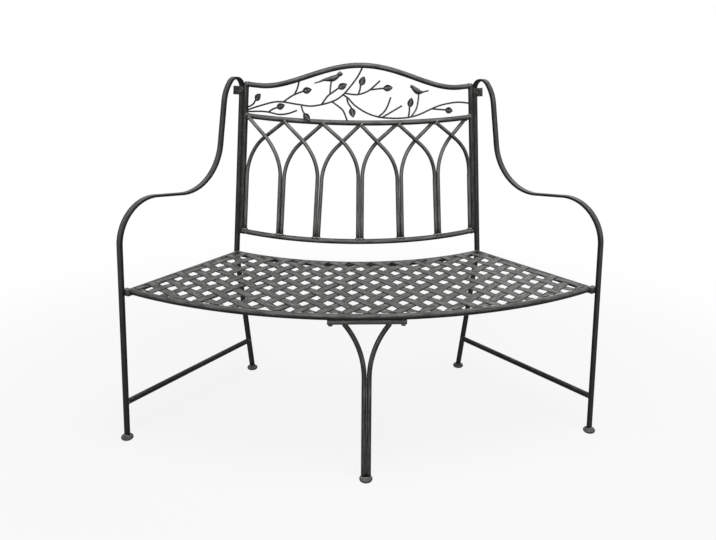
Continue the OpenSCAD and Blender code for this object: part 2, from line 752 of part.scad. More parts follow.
upper_line = line_of(concat([stile_side(-1, 0.155)], spots([
    [-0.832, 0.39], [-0.68, 0.508], [-0.504, 0.394], [-0.386, 0.334],
    [-0.232, 0.39], [-0.137, 0.512], [-0.033, 0.786], [0.018, 1]
])));
middle_line = line_of(concat([stile_side(-1, 0.12)], spots([
    [-0.86, 0.184], [-0.776, 0.19], [-0.675, 0.139], [-0.591, 0.175], [-0.515, 0.255]
])));
lower_root = -0.142;
lower_line = line_of(concat([point_at(upper_line, lower_root)], spots([
    [-0.1, 0.435], [-0.05, 0.313], [0.039, 0.186], [0.137, 0.111],
    [0.224, 0.09], [0.3, 0.086], [0.392, 0.104], [0.482, 0.17],
    [0.582, 0.31], [0.661, 0.421], [0.756, 0.502], [0.865, 0.52]
]), [stile_side(1, 0.435)]));
lower_hold = hold_at(upper_line, lower_root);
left_twig = line_of([point_at(upper_line, -0.636), spot([-0.552, 0.636]), leaf_root(2)]);
crown_twig = line_of(concat([point_at(upper_line, -0.129)], spots([
    [-0.07, 0.501], [-0.022, 0.497], [0.028, 0.528], [0.076, 0.592], [0.154, 0.764]
])));
perch_twig = line_of([
    point_at(upper_line, -0.314), spot([-0.266, 0.499]), spot([-0.221, 0.568]), leaf_root(4)
]);
top_end = -0.493;
top_slope = top_rail_z(top_end * panel_half + 1) - top_rail_z(top_end * panel_half - 1);
top_hold = [atan2(top_slope, 2), tube_r];

// Every other twig or stalk: its line and the holds at its two ends
function grown(line, across, points, hold = undef) =
    [line_of(concat([point_at(line, across)], points)), hold_at(line, across), hold];
twigs = [
    [left_twig, hold_at(upper_line, -0.636), undef],
    [crown_twig, hold_at(upper_line, -0.129), undef],
    [perch_twig, hold_at(upper_line, -0.314), undef],
    [line_of([stile_side(-1, 0.23), spot([-0.924, 0.38]), leaf_root(0)]), stile_hold(-1), undef],
    grown(left_twig, -0.54, [spot([-0.515, 0.781]), spot([top_end, 1])], top_hold),
    grown(middle_line, -0.773, [spot([-0.725, 0.298]), leaf_root(1)]),
    grown(upper_line, -0.482, [spot([-0.468, 0.275, stem_d]), leaf_root(3)]),
    grown(
        upper_line, -0.23, [spot([-0.174, 0.289]), spot([-0.137, 0.203]), spot([-0.101, 0])], rail_hold
    ),
    grown(crown_twig, -0.022, [spot([-0.008, 0.581]), leaf_root(5)]),
    grown(crown_twig, 0.07, [spot([0.129, 0.608]), leaf_root(6)]),
    grown(lower_line, -0.113, [spot([-0.101, 0.355]), leaf_root(7)]),
    grown(lower_line, 0.14, [spot([0.182, 0.19]), spot([0.213, 0.302]), spot([0.241, 0.49])]),
    grown(lower_line, 0.17, [spot([0.243, 0.2]), spot([0.336, 0.346])]),
    grown(lower_line, 0.39, [spot([0.397, 0.239]), leaf_root(8)]),
    grown(lower_line, 0.594, [spot([0.666, 0.315]), leaf_root(9)])
];
module stem(line, first, last = undef) {
    color(dark_steel) swept(line, stem_r, stem_sides, first, last);
}

module vine_twigs() {
    for (t = twigs) stem(t[0], t[1], t[2]);
}

// Places a flat shape on the panel, X along the panel and Z out to the front
module on_panel(u, z, n, turn) {
    a = u / back_at(z) * deg;
    translate(bent([u, z, n])) rotate([0, 0, a]) rotate([90 - back_lean, 0, 0]) rotate([0, 0, turn])
        children();
}

// A leaf is the lens between two circles that cross at its stalk and its tip
leaf_r = (pow(leaf_l / 2, 2) + pow(leaf_w / 2, 2)) / leaf_w;

module leaf() {
    linear_extrude(leaf_t, center = true) intersection() {
        translate([0, leaf_r - leaf_w / 2]) circle(leaf_r, $fn = curve_fn);
        translate([0, leaf_w / 2 - leaf_r]) circle(leaf_r, $fn = curve_fn);
    }
}

module vine_leaves() {
    color(dark_steel) for (f = leaves) let (p = spot(f[0])) on_panel(p[0], p[1], p[2], f[1]) leaf();
}

// Birds: one flattened sweep from tail to beak, with a leg below. A bird's points are
// [along, up, radius] from the top of its leg, in parts of its length, and it faces right.
left_bird_shape = [
    [-0.584, -0.05, 0.02], [-0.414, 0.005, 0.028], [-0.252, 0.072, 0.044], [-0.09, 0.103, 0.076],
    [0.054, 0.132, 0.1], [0.175, 0.194, 0.08], [0.245, 0.253, 0.07], [0.29, 0.288, 0.083],
    [0.345, 0.295, 0.046], [0.407, 0.288, 0.012]
];
right_bird_shape = [
    [-0.526, 0.19, 0.036], [-0.35, 0.165, 0.04], [-0.196, 0.139, 0.052], [-0.067, 0.139, 0.1],
    [0.062, 0.178, 0.137], [0.19, 0.271, 0.124], [0.3, 0.371, 0.098], [0.366, 0.424, 0.077],
    [0.443, 0.46, 0.026]
];

module bird(shape, size, foot, perch, across, leg) {
    body = [for (q = shape) [foot.x + size * q[0], foot.y + abs(size) * q[1], 0, abs(size) * q[2]]];
    // The leg ends just under the belly
    belly = min([for (q = shape) if (abs(q[0]) < 0.1) q[1] - q[2]]);
    leg_top = foot + [0, abs(size) * belly - 2 * fit, 0];
    color(dark_steel) swept(smooth(body, 2), 1, 10, undef, undef, bird_flat);
    stem(line_of(concat([point_at(perch, across)], leg, [leg_top])), hold_at(perch, across));
}

module left_bird() {
    leg = [spot([-0.242, 0.67])];
    bird(left_bird_shape, left_bird_l, spot([-0.236, 0.752]), perch_twig, -0.246, leg);
}

module right_bird() {
    leg = [spot([0.454, 0.286]), spot([0.47, 0.461])];
    bird(right_bird_shape, -right_bird_l, spot([0.476, 0.627]), lower_line, 0.412, leg);
}

// Fixings: hexagon heads and nuts, with the bolt along Z from under its head
module hex(t) {
    cylinder(h = t, d = hex_w / cos(30), $fn = 6);
}

module bolt(length) {
    translate([0, 0, -hex_t]) hex(hex_t);
    cylinder(h = length, d = bolt_d, $fn = round_fn);
}

grip = bar_t + tab_t + fit;

module at_hook_bolts() {
    for (right = [true, false])
        side(right) on_post(post_top) translate([bar_t / 2 + fit + tab_t + fit, 0, hook_tail / 2])
            rotate([0, -90, 0]) children();
}

module hook_bolts() {
    color(dark_steel) at_hook_bolts() bolt(grip + 2 * fit + hex_t + 1);
}

module hook_nuts() {
    color(dark_steel) at_hook_bolts() translate([0, 0, grip + 2 * fit]) difference() {
        hex(hex_t);
        translate([0, 0, -1]) cylinder(h = hex_t + 2, d = bolt_d + fit, $fn = round_fn);
    }
}

module crossbar_bolts() {
    color(dark_steel) crossbar_bolt_places() translate([0, 0, crossbar_low - fit])
        bolt(crossbar_bolt_end - crossbar_low + fit);
}

arm_strap(false);  // left_arm_strap
arm_strap(true);  // right_arm_strap
rear_post(false);  // left_rear_post
rear_post(true);  // right_rear_post
stretcher(false);  // left_stretcher
stretcher(true);  // right_stretcher
hook_tab(false);  // left_hook_tab
hook_tab(true);  // right_hook_tab
side_foot(false, leg_at(0));  // front_left_foot
side_foot(true, leg_at(0));  // front_right_foot
side_foot(false, rear_foot_r);  // rear_left_foot
side_foot(true, rear_foot_r);  // rear_right_foot
centre_foot();
seat_front_rim();
seat_rear_rim();
seat_side_rim(false);  // seat_left_rim
seat_side_rim(true);  // seat_right_rim
seat_strips(true);  // seat_strips_leaning_right
seat_strips(false);  // seat_strips_leaning_left
seat_stiffener(-6);  // seat_stiffener_left
seat_stiffener(-2);  // seat_stiffener_middle
seat_stiffener(2);  // seat_stiffener_right
seat_lug(false);  // seat_left_lug
seat_lug(true);  // seat_right_lug
centre_leg_rod(false);  // centre_leg_left_rod
centre_leg_rod(true);  // centre_leg_right_rod
centre_leg_crossbar();
stile(false);  // left_stile
stile(true);  // right_stile
rail(bottom_rail_h);  // bottom_rail
rail(middle_rail_h);  // middle_rail
rail(top_rail_h, true);  // top_rail
arch_rods(-1);  // arch_rods_rising_left
arch_rods(1);  // arch_rods_rising_right
stem(upper_line, stile_hold(-1), rail_hold);  // vine_upper_stem
stem(middle_line, stile_hold(-1));  // vine_middle_stem
stem(lower_line, lower_hold, stile_hold(1));  // vine_lower_stem
vine_twigs();
vine_leaves();
left_bird();
right_bird();
hook_bolts();
hook_nuts();
crossbar_bolts();
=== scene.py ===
# %% [markdown]
# # A curved garden bench in steel
# The bench is bent and welded from flat bar, round tube and rod, with a seat woven from thin strip and a
# vine of leaves and two birds under its top rail. The imported model already holds every piece at its
# right size. This lesson makes each piece again with rounded edges, weld beads and leaf veins, and gives
# it a paint that is brushed along its length.

# %% Tools
import json
import math
import bpy
import bmesh
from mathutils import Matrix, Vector

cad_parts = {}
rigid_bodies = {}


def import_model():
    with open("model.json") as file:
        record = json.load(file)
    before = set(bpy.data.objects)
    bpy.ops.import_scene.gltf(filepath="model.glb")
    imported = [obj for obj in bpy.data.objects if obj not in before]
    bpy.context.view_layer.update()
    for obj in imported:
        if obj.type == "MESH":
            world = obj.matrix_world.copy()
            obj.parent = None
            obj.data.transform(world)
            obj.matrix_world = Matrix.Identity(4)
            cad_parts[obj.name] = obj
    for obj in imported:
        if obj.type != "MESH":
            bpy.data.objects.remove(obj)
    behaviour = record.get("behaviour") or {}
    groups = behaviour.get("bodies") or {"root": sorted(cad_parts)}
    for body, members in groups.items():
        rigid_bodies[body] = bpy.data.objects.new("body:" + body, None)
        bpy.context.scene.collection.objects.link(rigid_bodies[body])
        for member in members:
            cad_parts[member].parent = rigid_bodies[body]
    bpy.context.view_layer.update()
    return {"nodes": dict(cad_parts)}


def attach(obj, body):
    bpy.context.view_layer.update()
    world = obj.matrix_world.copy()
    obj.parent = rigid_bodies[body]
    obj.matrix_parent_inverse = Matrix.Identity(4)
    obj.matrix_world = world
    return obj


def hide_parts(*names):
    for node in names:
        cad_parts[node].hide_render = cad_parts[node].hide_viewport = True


# %% [markdown]
# The start-up objects go first. Then the imported model comes in as a fixed frame.

# %% Load the frame
for thing in list(bpy.data.objects):
    bpy.data.objects.remove(thing)
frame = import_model()
print("nodes in the frame:", len(frame["nodes"]))

# %% [markdown]
# The whole bench turns about one upright line behind it. So most places are told by a radius
# from that line and an angle, or by a length along the bent back. The sizes below are in
# millimetres and are those that the model was built from.

# %% The bench's main sizes
MM = 0.001
HALF = math.radians(35.3)
SEAT_FRONT, BACK_R, REAR_FOOT, CENTRE_FOOT = 1040, 622, 562, 1068
SEAT_H, RIM_R, STRIP_W, STRIP_T = 410, 8, 25, 1
BAR_W, BAR_T, BAR_LAP, FIT = 18, 6, 4, 0.15
TUBE_R, ROD_R, STEM_R = 7.5, 5.5, 2.5
FOOT_R, FOOT_H = 16, 10
FRAME_OUT = BAR_W / 2 - BAR_LAP
LEG_R = SEAT_FRONT + 8 + BAR_T / 2
REAR_REACH = REAR_FOOT * math.cos(HALF) - FRAME_OUT * math.sin(HALF) - FOOT_R
AXIS_Y = (CENTRE_FOOT + FOOT_R + REAR_REACH) / 2
FRONT_LEAN, BACK_LEAN = math.radians(1.2), math.radians(4.6)
KNEE_H = 396
print("the curve's axis stands at y =", round(AXIS_Y * MM, 4), "m")

# %% [markdown]
# Three small maps turn a maker's sizes into places in the frame. One is plain, one follows a
# side frame, where a point has a radius, a distance outwards and a height, and one bends a
# flat drawing of the back onto its leaning curve, with the rails hanging a little.

# %% Maps from the maker's sizes to places
def spot(x, y, z):
    return Vector((x, y, z)) * MM


def on_axis(radius, angle, z):
    return spot(radius * math.sin(angle), AXIS_Y - radius * math.cos(angle), z)


def on_side(right, radius, out, z):
    x = radius * math.sin(HALF) + out * math.cos(HALF)
    y = out * math.sin(HALF) - radius * math.cos(HALF) + AXIS_Y
    return spot(x if right else -x, y, z)


BOTTOM_H, MIDDLE_H, TOP_H = 469, 810, 900


def leg_at(z):
    return LEG_R + (SEAT_H - z) * math.tan(FRONT_LEAN)


def back_at(z):
    return BACK_R - (z - KNEE_H) * math.tan(BACK_LEAN)


def hang(z, angle):
    deep = 4 + 4.5 * (z - BOTTOM_H) / (MIDDLE_H - BOTTOM_H)
    return deep * (math.cos(angle) - math.cos(HALF)) / (1 - math.cos(HALF))


def on_back(u, z, n=0.0):
    radius = back_at(z)
    angle = u / radius
    return on_axis(radius + n, angle, z - hang(z, angle))


print("middle of the middle rail:", [round(c, 4) for c in on_back(0, MIDDLE_H)])

# %% [markdown]
# The photograph was taken from the front and a little above, close to the middle. The camera
# gets the place and turn that make the model lie over it, and a small shift frames it.

# %% Camera
def aim_camera(place, yaw, pitch, roll):
    back = Vector((math.sin(yaw) * math.cos(pitch), -math.cos(yaw) * math.cos(pitch), math.sin(pitch)))
    right = Vector((math.cos(yaw), math.sin(yaw), 0))
    up = back.cross(right)
    across = math.cos(roll) * right + math.sin(roll) * up
    rise = math.cos(roll) * up - math.sin(roll) * right
    camera = bpy.data.objects.new("camera", bpy.data.cameras.new("camera"))
    bpy.context.scene.collection.objects.link(camera)
    for column, axis in enumerate((across, rise, back)):
        for row in range(3):
            camera.matrix_world[row][column] = axis[row]
    camera.matrix_world.translation = place
    return camera


camera = aim_camera(Vector((-0.09674, -1.911814, 1.060166)), -0.052742, 0.212483, 0.012767)
camera.data.sensor_width = 36
camera.data.lens = 37.61885
camera.data.shift_x = -0.009172
camera.data.shift_y = -0.111732
camera.data.clip_end = 200
bpy.context.scene.camera = camera
print("camera at", [round(c, 3) for c in camera.matrix_world.translation])

# %% [markdown]
# A dark painted bench shows its roundness by soft light from above that fades on the
# undersides. One wide lamp overhead and a weaker one in front do most of it. The world is dim
# for the object but white for the camera, and for what the paint reflects.

# %% Lamps
def lamp(name, place, size, power):
    light = bpy.data.lights.new(name, "AREA")
    light.shape = "DISK"
    light.size = size
    light.energy = power
    obj = bpy.data.objects.new(name, light)
    bpy.context.scene.collection.objects.link(obj)
    obj.location = place
    obj.rotation_euler = (Vector((0, 0, 0.45)) - Vector(place)).to_track_quat("-Z", "Y").to_euler()
    return obj


lamps = [
    lamp("overhead lamp", (0.3, -0.6, 3.2), 1.8, 84),
    lamp("front lamp", (-1.0, -3.2, 1.6), 1.2, 34),
    lamp("rear lamp", (1.4, 2.6, 2.4), 2.0, 14),
]
print("lamps:", [(o.name, o.data.energy) for o in lamps])

# %% [markdown]
# A shader node is made with its settings, and each of its inputs gets a number, a colour or the
# output that feeds it. One helper does all of that, and a second one makes the arithmetic
# nodes and gives back their result.

# %% Helpers: a node and what feeds it
def wired(tree, kind, feeds=None, **settings):
    node = tree.nodes.new(kind)
    for key, value in settings.items():
        setattr(node, key, value)
    for socket, source in (feeds or {}).items():
        if isinstance(source, bpy.types.NodeSocket):
            tree.links.new(source, node.inputs[socket])
        else:
            node.inputs[socket].default_value = source
    return node


def worked(tree, operation, *feeds, clamp=False):
    node = wired(tree, "ShaderNodeMath", dict(enumerate(feeds)), operation=operation, use_clamp=clamp)
    return node.outputs[0]


# %% [markdown]
# The background is white where the camera or a reflection sees it, and dark grey for
# everything else, so the lamps light the bench and the white around it adds nothing.

# %% World
DIM = (0.06, 0.06, 0.062, 1)
WHITE = (1, 1, 1, 1)
scene = bpy.context.scene
scene.view_settings.view_transform = "Standard"
scene.world = bpy.data.worlds.new("studio")
scene.world.use_nodes = True
sky = scene.world.node_tree
sky.nodes.clear()
white = wired(sky, "ShaderNodeBackground", {"Color": WHITE})
dim = wired(sky, "ShaderNodeBackground", {"Color": DIM})
path = wired(sky, "ShaderNodeLightPath").outputs
seen = worked(sky, "MAXIMUM", path["Is Camera Ray"], path["Is Glossy Ray"])
seen = worked(sky, "MAXIMUM", seen, path["Is Transmission Ray"])
world_mix = wired(sky, "ShaderNodeMixShader", {0: seen, 1: dim.outputs[0], 2: white.outputs[0]})
wired(sky, "ShaderNodeOutputWorld", {"Surface": world_mix.outputs[0]})
print("nodes of the world:", len(sky.nodes))

# %% [markdown]
# The floor is a pale matt sheet that takes the bench's shadow. What the camera sees of it is
# partly plain white under the bench and wholly white far from it, where it runs into the
# background with no horizon. A ball-shaped gradient round the bench sets how much.

# %% Floor
FLOOR_GREY = 0.6
FADE_FROM, FADE_TO, WHITE_SHARE = 0.7, 2.0, 0.87


def floor_material():
    material = bpy.data.materials.new("pale floor")
    material.use_nodes = True
    tree = material.node_tree
    tree.nodes.clear()
    matt = wired(tree, "ShaderNodeBsdfDiffuse", {"Color": (FLOOR_GREY, FLOOR_GREY, FLOOR_GREY, 1)})
    glow = wired(tree, "ShaderNodeEmission", {"Color": WHITE})
    place = wired(tree, "ShaderNodeTexCoord")
    away = wired(tree, "ShaderNodeVectorMath", {0: place.outputs["Object"]}, operation="LENGTH")
    share = wired(tree, "ShaderNodeMapRange", {
        "Value": away.outputs["Value"], "From Min": FADE_FROM, "From Max": FADE_TO,
        "To Min": WHITE_SHARE, "To Max": 1.0,
    }, interpolation_type="SMOOTHSTEP")
    path = wired(tree, "ShaderNodeLightPath").outputs
    seen = worked(tree, "MAXIMUM", path["Is Camera Ray"], path["Is Glossy Ray"])
    part = worked(tree, "MULTIPLY", seen, share.outputs[0])
    mix = wired(tree, "ShaderNodeMixShader", {0: part, 1: matt.outputs[0], 2: glow.outputs[0]})
    wired(tree, "ShaderNodeOutputMaterial", {"Surface": mix.outputs[0]})
    return material


sheet = bmesh.new()
bmesh.ops.create_grid(sheet, x_segments=1, y_segments=1, size=30)
floor_mesh = bpy.data.meshes.new("floor")
sheet.to_mesh(floor_mesh)
sheet.free()
floor_mesh.materials.append(floor_material())
floor = bpy.data.objects.new("floor", floor_mesh)
scene.collection.objects.link(floor)
floor.location.z = -0.0005
print("floor is", floor.dimensions.x, "m wide")

# %% [markdown]
# The bench is painted black, brushed with pewter and rubbed, so it is streaked along each bar. Its colour
# also holds painted light and shade: pale on tops and fronts, and nearly black on undersides and at
# edges. One node group makes the streaks, patches and grains from a vector that runs along a bar. It also
# takes a painted light value that says how lit a place is to look. Every finish uses it with its own
# values.

# %% Node group: brushed paint
def group_socket(group, name, kind, value=None, way="INPUT"):
    item = group.interface.new_socket(name=name, in_out=way, socket_type="NodeSocket" + kind)
    if value is not None:
        item.default_value = value


def noise_mask(group, vector, detail, low, high, roughness=0.5):
    noise = wired(group, "ShaderNodeTexNoise", {
        "Vector": vector, "Scale": 1.0, "Detail": detail, "Roughness": roughness,
    })
    mask = wired(group, "ShaderNodeMapRange", {
        "Value": noise.outputs["Fac"], "From Min": low, "From Max": high,
    })
    return mask.outputs[0]


def brushed_paint():
    group = bpy.data.node_groups.new("brushed paint", "ShaderNodeTree")
    group_socket(group, "Vector", "Vector")
    for name, shade in (("Dark", 0.03), ("Paint", 0.1), ("Pewter", 0.2)):
        group_socket(group, name, "Color", (shade, shade, shade, 1))
    for name, value in (("Streak Length", 0.04), ("Streak Width", 0.002), ("Patch Size", 0.02),
                        ("Painted Light", 1.0), ("Contrast", 0.5)):
        group_socket(group, name, "Float", value)
    for name, kind in (("Color", "Color"), ("Roughness", "Float"), ("Height", "Float")):
        group_socket(group, name, kind, way="OUTPUT")
    given = wired(group, "NodeGroupInput").outputs

    # Streaks: the vector is divided by a streak's length one way and by its width the other
    width = given["Streak Width"]
    sizes = wired(group, "ShaderNodeCombineXYZ", {0: given["Streak Length"], 1: width, 2: width})
    drawn = wired(group, "ShaderNodeVectorMath", {
        0: given["Vector"], 1: sizes.outputs[0],
    }, operation="DIVIDE")
    streaks = noise_mask(group, drawn.outputs[0], 5, 0.36, 0.64, 0.62)

    # Patches: broad areas where more paint was rubbed off
    spread = worked(group, "DIVIDE", 1.0, given["Patch Size"])
    broad = wired(group, "ShaderNodeVectorMath", {0: given["Vector"], "Scale": spread}, operation="SCALE")
    patches = noise_mask(group, broad.outputs[0], 3, 0.35, 0.65)

    # Tone: the painted light, less where streaks and patches leave the dark paint bare
    cover = worked(group, "MULTIPLY_ADD", patches, 0.35, streaks)
    bare = worked(group, "SUBTRACT", 1.35, cover)
    loss = worked(group, "MULTIPLY", bare, given["Contrast"])
    tone = worked(group, "SUBTRACT", given["Painted Light"], loss, clamp=True)

    # Colour: dark to paint over the lower half of the tone, then paint to pewter
    lower = worked(group, "MULTIPLY", tone, 2, clamp=True)
    base = wired(group, "ShaderNodeMix", {
        "Factor": lower, 6: given["Dark"], 7: given["Paint"],
    }, data_type="RGBA")
    upper = worked(group, "MULTIPLY_ADD", tone, 2, -1, clamp=True)
    colour = wired(group, "ShaderNodeMix", {
        "Factor": upper, 6: base.outputs[2], 7: given["Pewter"],
    }, data_type="RGBA")

    # Roughness: places of lighter tone, painted light included, are smoother. Height: fine grains of the
    # paint over the streaks
    rough = wired(group, "ShaderNodeMapRange", {"Value": tone, "To Min": 0.6, "To Max": 0.4})
    grain = wired(group, "ShaderNodeTexNoise", {"Vector": given["Vector"], "Scale": 900, "Detail": 2})
    height = worked(group, "MULTIPLY_ADD", grain.outputs["Fac"], 0.6, streaks)
    wired(group, "NodeGroupOutput", {
        "Color": colour.outputs[2], "Roughness": rough.outputs[0], "Height": height,
    })
    return group


BRUSHED = brushed_paint()
print("node group:", BRUSHED.name, "with", len(BRUSHED.nodes), "nodes")

# %% [markdown]
# Each finish is one Principled shader fed by the group. Bars and tubes read their own UV map, whose first
# axis runs along the bar in metres, so the streaks follow every bend. Small pieces without a long way
# read Object coordinates instead. The painted light and shade is an attribute stored on the points of
# each piece: lighter on tops and fronts, darker on undersides and edges.

# %% Finishes
def finish(name, dark, paint, pewter, streak, patch, contrast, bump, follow="UV"):
    material = bpy.data.materials.new(name)
    material.use_nodes = True
    tree = material.node_tree
    place = wired(tree, "ShaderNodeTexCoord")
    # Painted light and shade stored on the points of the piece
    reach = wired(tree, "ShaderNodeAttribute", attribute_name="reach")
    brushed = wired(tree, "ShaderNodeGroup", {
        "Vector": place.outputs[follow], "Painted Light": reach.outputs["Fac"], "Contrast": contrast,
        "Streak Length": streak[0], "Streak Width": streak[1], "Patch Size": patch,
    }, node_tree=BRUSHED)
    # The grey leans a little to green
    for socket, value in (("Dark", dark), ("Paint", paint), ("Pewter", pewter)):
        brushed.inputs[socket].default_value = (value, value * 1.01, value * 0.95, 1)
    relief = wired(tree, "ShaderNodeBump", {
        "Strength": 0.5, "Distance": bump, "Height": brushed.outputs["Height"],
    })
    shader = tree.nodes["Principled BSDF"].inputs
    shader["Metallic"].default_value = 0.0
    shader["Specular IOR Level"].default_value = 0.16
    tree.links.new(brushed.outputs["Color"], shader["Base Color"])
    tree.links.new(brushed.outputs["Roughness"], shader["Roughness"])
    tree.links.new(relief.outputs["Normal"], shader["Normal"])
    return material


TUBE = finish("tube paint", 0.008, 0.085, 0.24, (0.05, 0.0035), 0.03, 0.45, 0.0002)
RIM = finish("rim paint", 0.005, 0.045, 0.17, (0.05, 0.0035), 0.03, 0.45, 0.0002)
ROD = finish("rod paint", 0.01, 0.1, 0.26, (0.04, 0.003), 0.03, 0.35, 0.0002)
POST = finish("post paint", 0.005, 0.04, 0.15, (0.06, 0.0022), 0.025, 0.6, 0.0003)
STRAP = finish("strap paint", 0.005, 0.055, 0.19, (0.06, 0.002), 0.04, 0.5, 0.0003)
STRIP = finish("strip paint", 0.006, 0.065, 0.2, (0.03, 0.0028), 0.03, 0.6, 0.0002)
VINE = finish("vine paint", 0.006, 0.03, 0.12, (0.012, 0.0018), 0.012, 0.4, 0.0003)
LEAF = finish("leaf paint", 0.005, 0.08, 0.42, (0.006, 0.003), 0.008, 0.3, 0.0003)
BIRD = finish("bird paint", 0.006, 0.07, 0.26, (0.01, 0.002), 0.01, 0.35, 0.0003)
WELD = finish("weld metal", 0.03, 0.17, 0.5, (0.003, 0.002), 0.004, 0.5, 0.0008, "Object")
FIXING = finish("fixing paint", 0.01, 0.06, 0.2, (0.004, 0.004), 0.006, 0.5, 0.0003, "Object")
print("finishes:", len([m for m in bpy.data.materials if m.name.endswith(("paint", "metal"))]))

# %% [markdown]
# Every bar, rod and tube here is a long way with a section that stays square to it. So one
# helper makes them all: it starts from a flat grid, gives it a UV map in metres, then moves
# each point of the grid to its place round the bar. The seam is merged and the ends filled.

# %% Helper: roll a grid round a way
SAME_PLACE = 1e-7


def rolled(rings, along, around, reach=None, loop=False):
    steps, sides = len(rings) - 1, len(rings[0])
    bm = bmesh.new()
    bmesh.ops.create_grid(bm, x_segments=steps, y_segments=sides, size=1)
    uv = bm.loops.layers.uv.new("UVMap")
    layer = bm.verts.layers.float.new("reach")
    cell_of = {}
    for v in bm.verts:
        cell_of[v] = (round((v.co.x + 1) / 2 * steps), round((v.co.y + 1) / 2 * sides))
    for face in bm.faces:
        for corner in face.loops:
            i, k = cell_of[corner.vert]
            corner[uv].uv = (along[i], around[k])
    for v, (i, k) in cell_of.items():
        v.co = rings[i][k % sides]
        v[layer] = reach(i, k % sides) if reach else 1.0
    bmesh.ops.remove_doubles(bm, verts=bm.verts, dist=SAME_PLACE)
    if not loop:
        bmesh.ops.holes_fill(bm, edges=[e for e in bm.edges if e.is_boundary], sides=0)
    bmesh.ops.recalc_face_normals(bm, faces=bm.faces)
    return bm


def with_uv(bm):
    uv = bm.loops.layers.uv.new("UVMap")
    for face in bm.faces:
        for corner in face.loops:
            corner[uv].uv = (corner.vert.co.x, corner.vert.co.z)
    layer = bm.verts.layers.float.new("reach")
    for v in bm.verts:
        v[layer] = 1.0
    return bm


def put_together(parts):
    whole = bmesh.new()
    for bm in parts:
        step = bpy.data.meshes.new("step")
        bm.to_mesh(step)
        bm.free()
        whole.from_mesh(step)
        bpy.data.meshes.remove(step)
    return whole


# Painted light by the way a point faces: a weight for up, a weight for front and back, a floor, and the
# share that counts as fully lit
TOP_PAINTED_LIGHT, FRONT_BACK_PAINTED_LIGHT, LEAST_PAINTED_LIGHT, FULL_PAINTED_LIGHT = 0.75, 0.55, 0.15, 0.8


def finished(node, bm, material, sharp=38, extra=False):
    # Painted light and shade: tops, fronts and backs are painted lighter, sides darker, and undersides
    # darkest
    layer = bm.verts.layers.float["reach"]
    bm.normal_update()
    for v in bm.verts:
        facing = TOP_PAINTED_LIGHT * v.normal.z + FRONT_BACK_PAINTED_LIGHT * abs(v.normal.y) + LEAST_PAINTED_LIGHT
        v[layer] *= min(1, max(0, facing / FULL_PAINTED_LIGHT))
    name = node if extra else node + "_finished"
    mesh = bpy.data.meshes.new(name)
    bm.to_mesh(mesh)
    bm.free()
    mesh.materials.append(material)
    mesh.shade_smooth()
    mesh.set_sharp_from_angle(angle=math.radians(sharp))
    obj = bpy.data.objects.new(name, mesh)
    scene.collection.objects.link(obj)
    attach(obj, "root")
    if not extra:
        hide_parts(node)
    print(name, "has", len(mesh.polygons), "faces")
    return obj


# %% [markdown]
# A section is a short list of points. The flat bar's corners are rolled steel, so they are
# round by about a millimetre. A tube's section is a circle.

# %% Sections
def circle(radius, sides):
    turn = 2 * math.pi / sides
    return [(radius * math.cos(turn * k), radius * math.sin(turn * k)) for k in range(sides)]


def round_bar(thick, wide, corner, steps=3, spread=2):
    points = []
    for cx, cy, start in ((1, 1, 0), (-1, 1, 1), (-1, -1, 2), (1, -1, 3)):
        for s in range(steps + 1):
            t = math.pi / 2 * (start + s / steps)
            points.append((
                cx * (thick / 2 - corner) + corner * math.cos(t),
                cy * (wide / 2 - corner) + corner * math.sin(t),
            ))
    # More points on the long faces, so that the bar can be shaded and worn across its width
    whole = []
    for k, a in enumerate(points):
        b = points[(k + 1) % len(points)]
        whole.append(a)
        if math.dist(a, b) > corner * 2:
            for j in range(1, spread + 1):
                part = j / (spread + 1)
                whole.append((a[0] + (b[0] - a[0]) * part, a[1] + (b[1] - a[1]) * part))
    return whole


def distances(points, scale=MM, close=False):
    total, out = 0.0, [0.0]
    ring = list(points) + ([points[0]] if close else [])
    for a, b in zip(ring, ring[1:]):
        total += math.dist(a, b) * scale
        out.append(total)
    return out


BAR_CORNER = 1.1
BAR = round_bar(BAR_T, BAR_W, BAR_CORNER)
print("the flat bar's section has", len(BAR), "points")

# %% [markdown]
# A strap is one bar bent by hand tools, so its way is a list of straights and bends. A walk
# along it keeps a point and a heading. The heading is 0 when going up.

# %% Helper: walk a bent way
def way(heading):
    return Vector((-math.sin(heading), math.cos(heading)))


def aim(heading):
    return Vector((math.cos(heading), math.sin(heading)))


def walk(start, heading, moves, step=math.radians(3)):
    p = Vector(start)
    path = [(p.copy(), heading)]
    for move in moves:
        if len(move) == 1:
            p = p + move[0] * way(heading)
            path.append((p.copy(), heading))
            continue
        radius, turn = move
        side = math.copysign(1, turn)
        centre = p - side * radius * aim(heading)
        count = math.ceil(abs(turn) / step)
        for i in range(1, count + 1):
            t = heading + turn * i / count
            path.append((centre + side * radius * aim(t), t))
        heading += turn
        p = path[-1][0]
    return path


def strap(name, right, path, low, paint):
    rings = []
    for i, (p, heading) in enumerate(path):
        ring = []
        for a, b in BAR:
            q = p + a * aim(heading)
            if i == 0:
                # The bar's foot is cut level
                q = q + (low - q.y) / math.cos(heading) * way(heading)
            ring.append(on_side(right, q.x, FRAME_OUT + b, q.y))
        rings.append(ring)
    along = distances([p for p, heading in path])
    around = distances(BAR, close=True)

    # Painted shade: the bar darkens towards the two edges of its width and is lightest down its middle
    def reach(i, k):
        a, b = BAR[k]
        return 1 - 0.85 * abs(b / (BAR_W / 2)) ** 3

    return finished(name, rolled(rings, along, around, reach), paint)


# %% [markdown]
# The arm is the front leg too. It goes up, bends back over a crest, falls a little, dips,
# rises to a wide shoulder and curls over to meet the rear post in a hook. Two straights are
# left open and take the length that makes the hook end on the post's line.

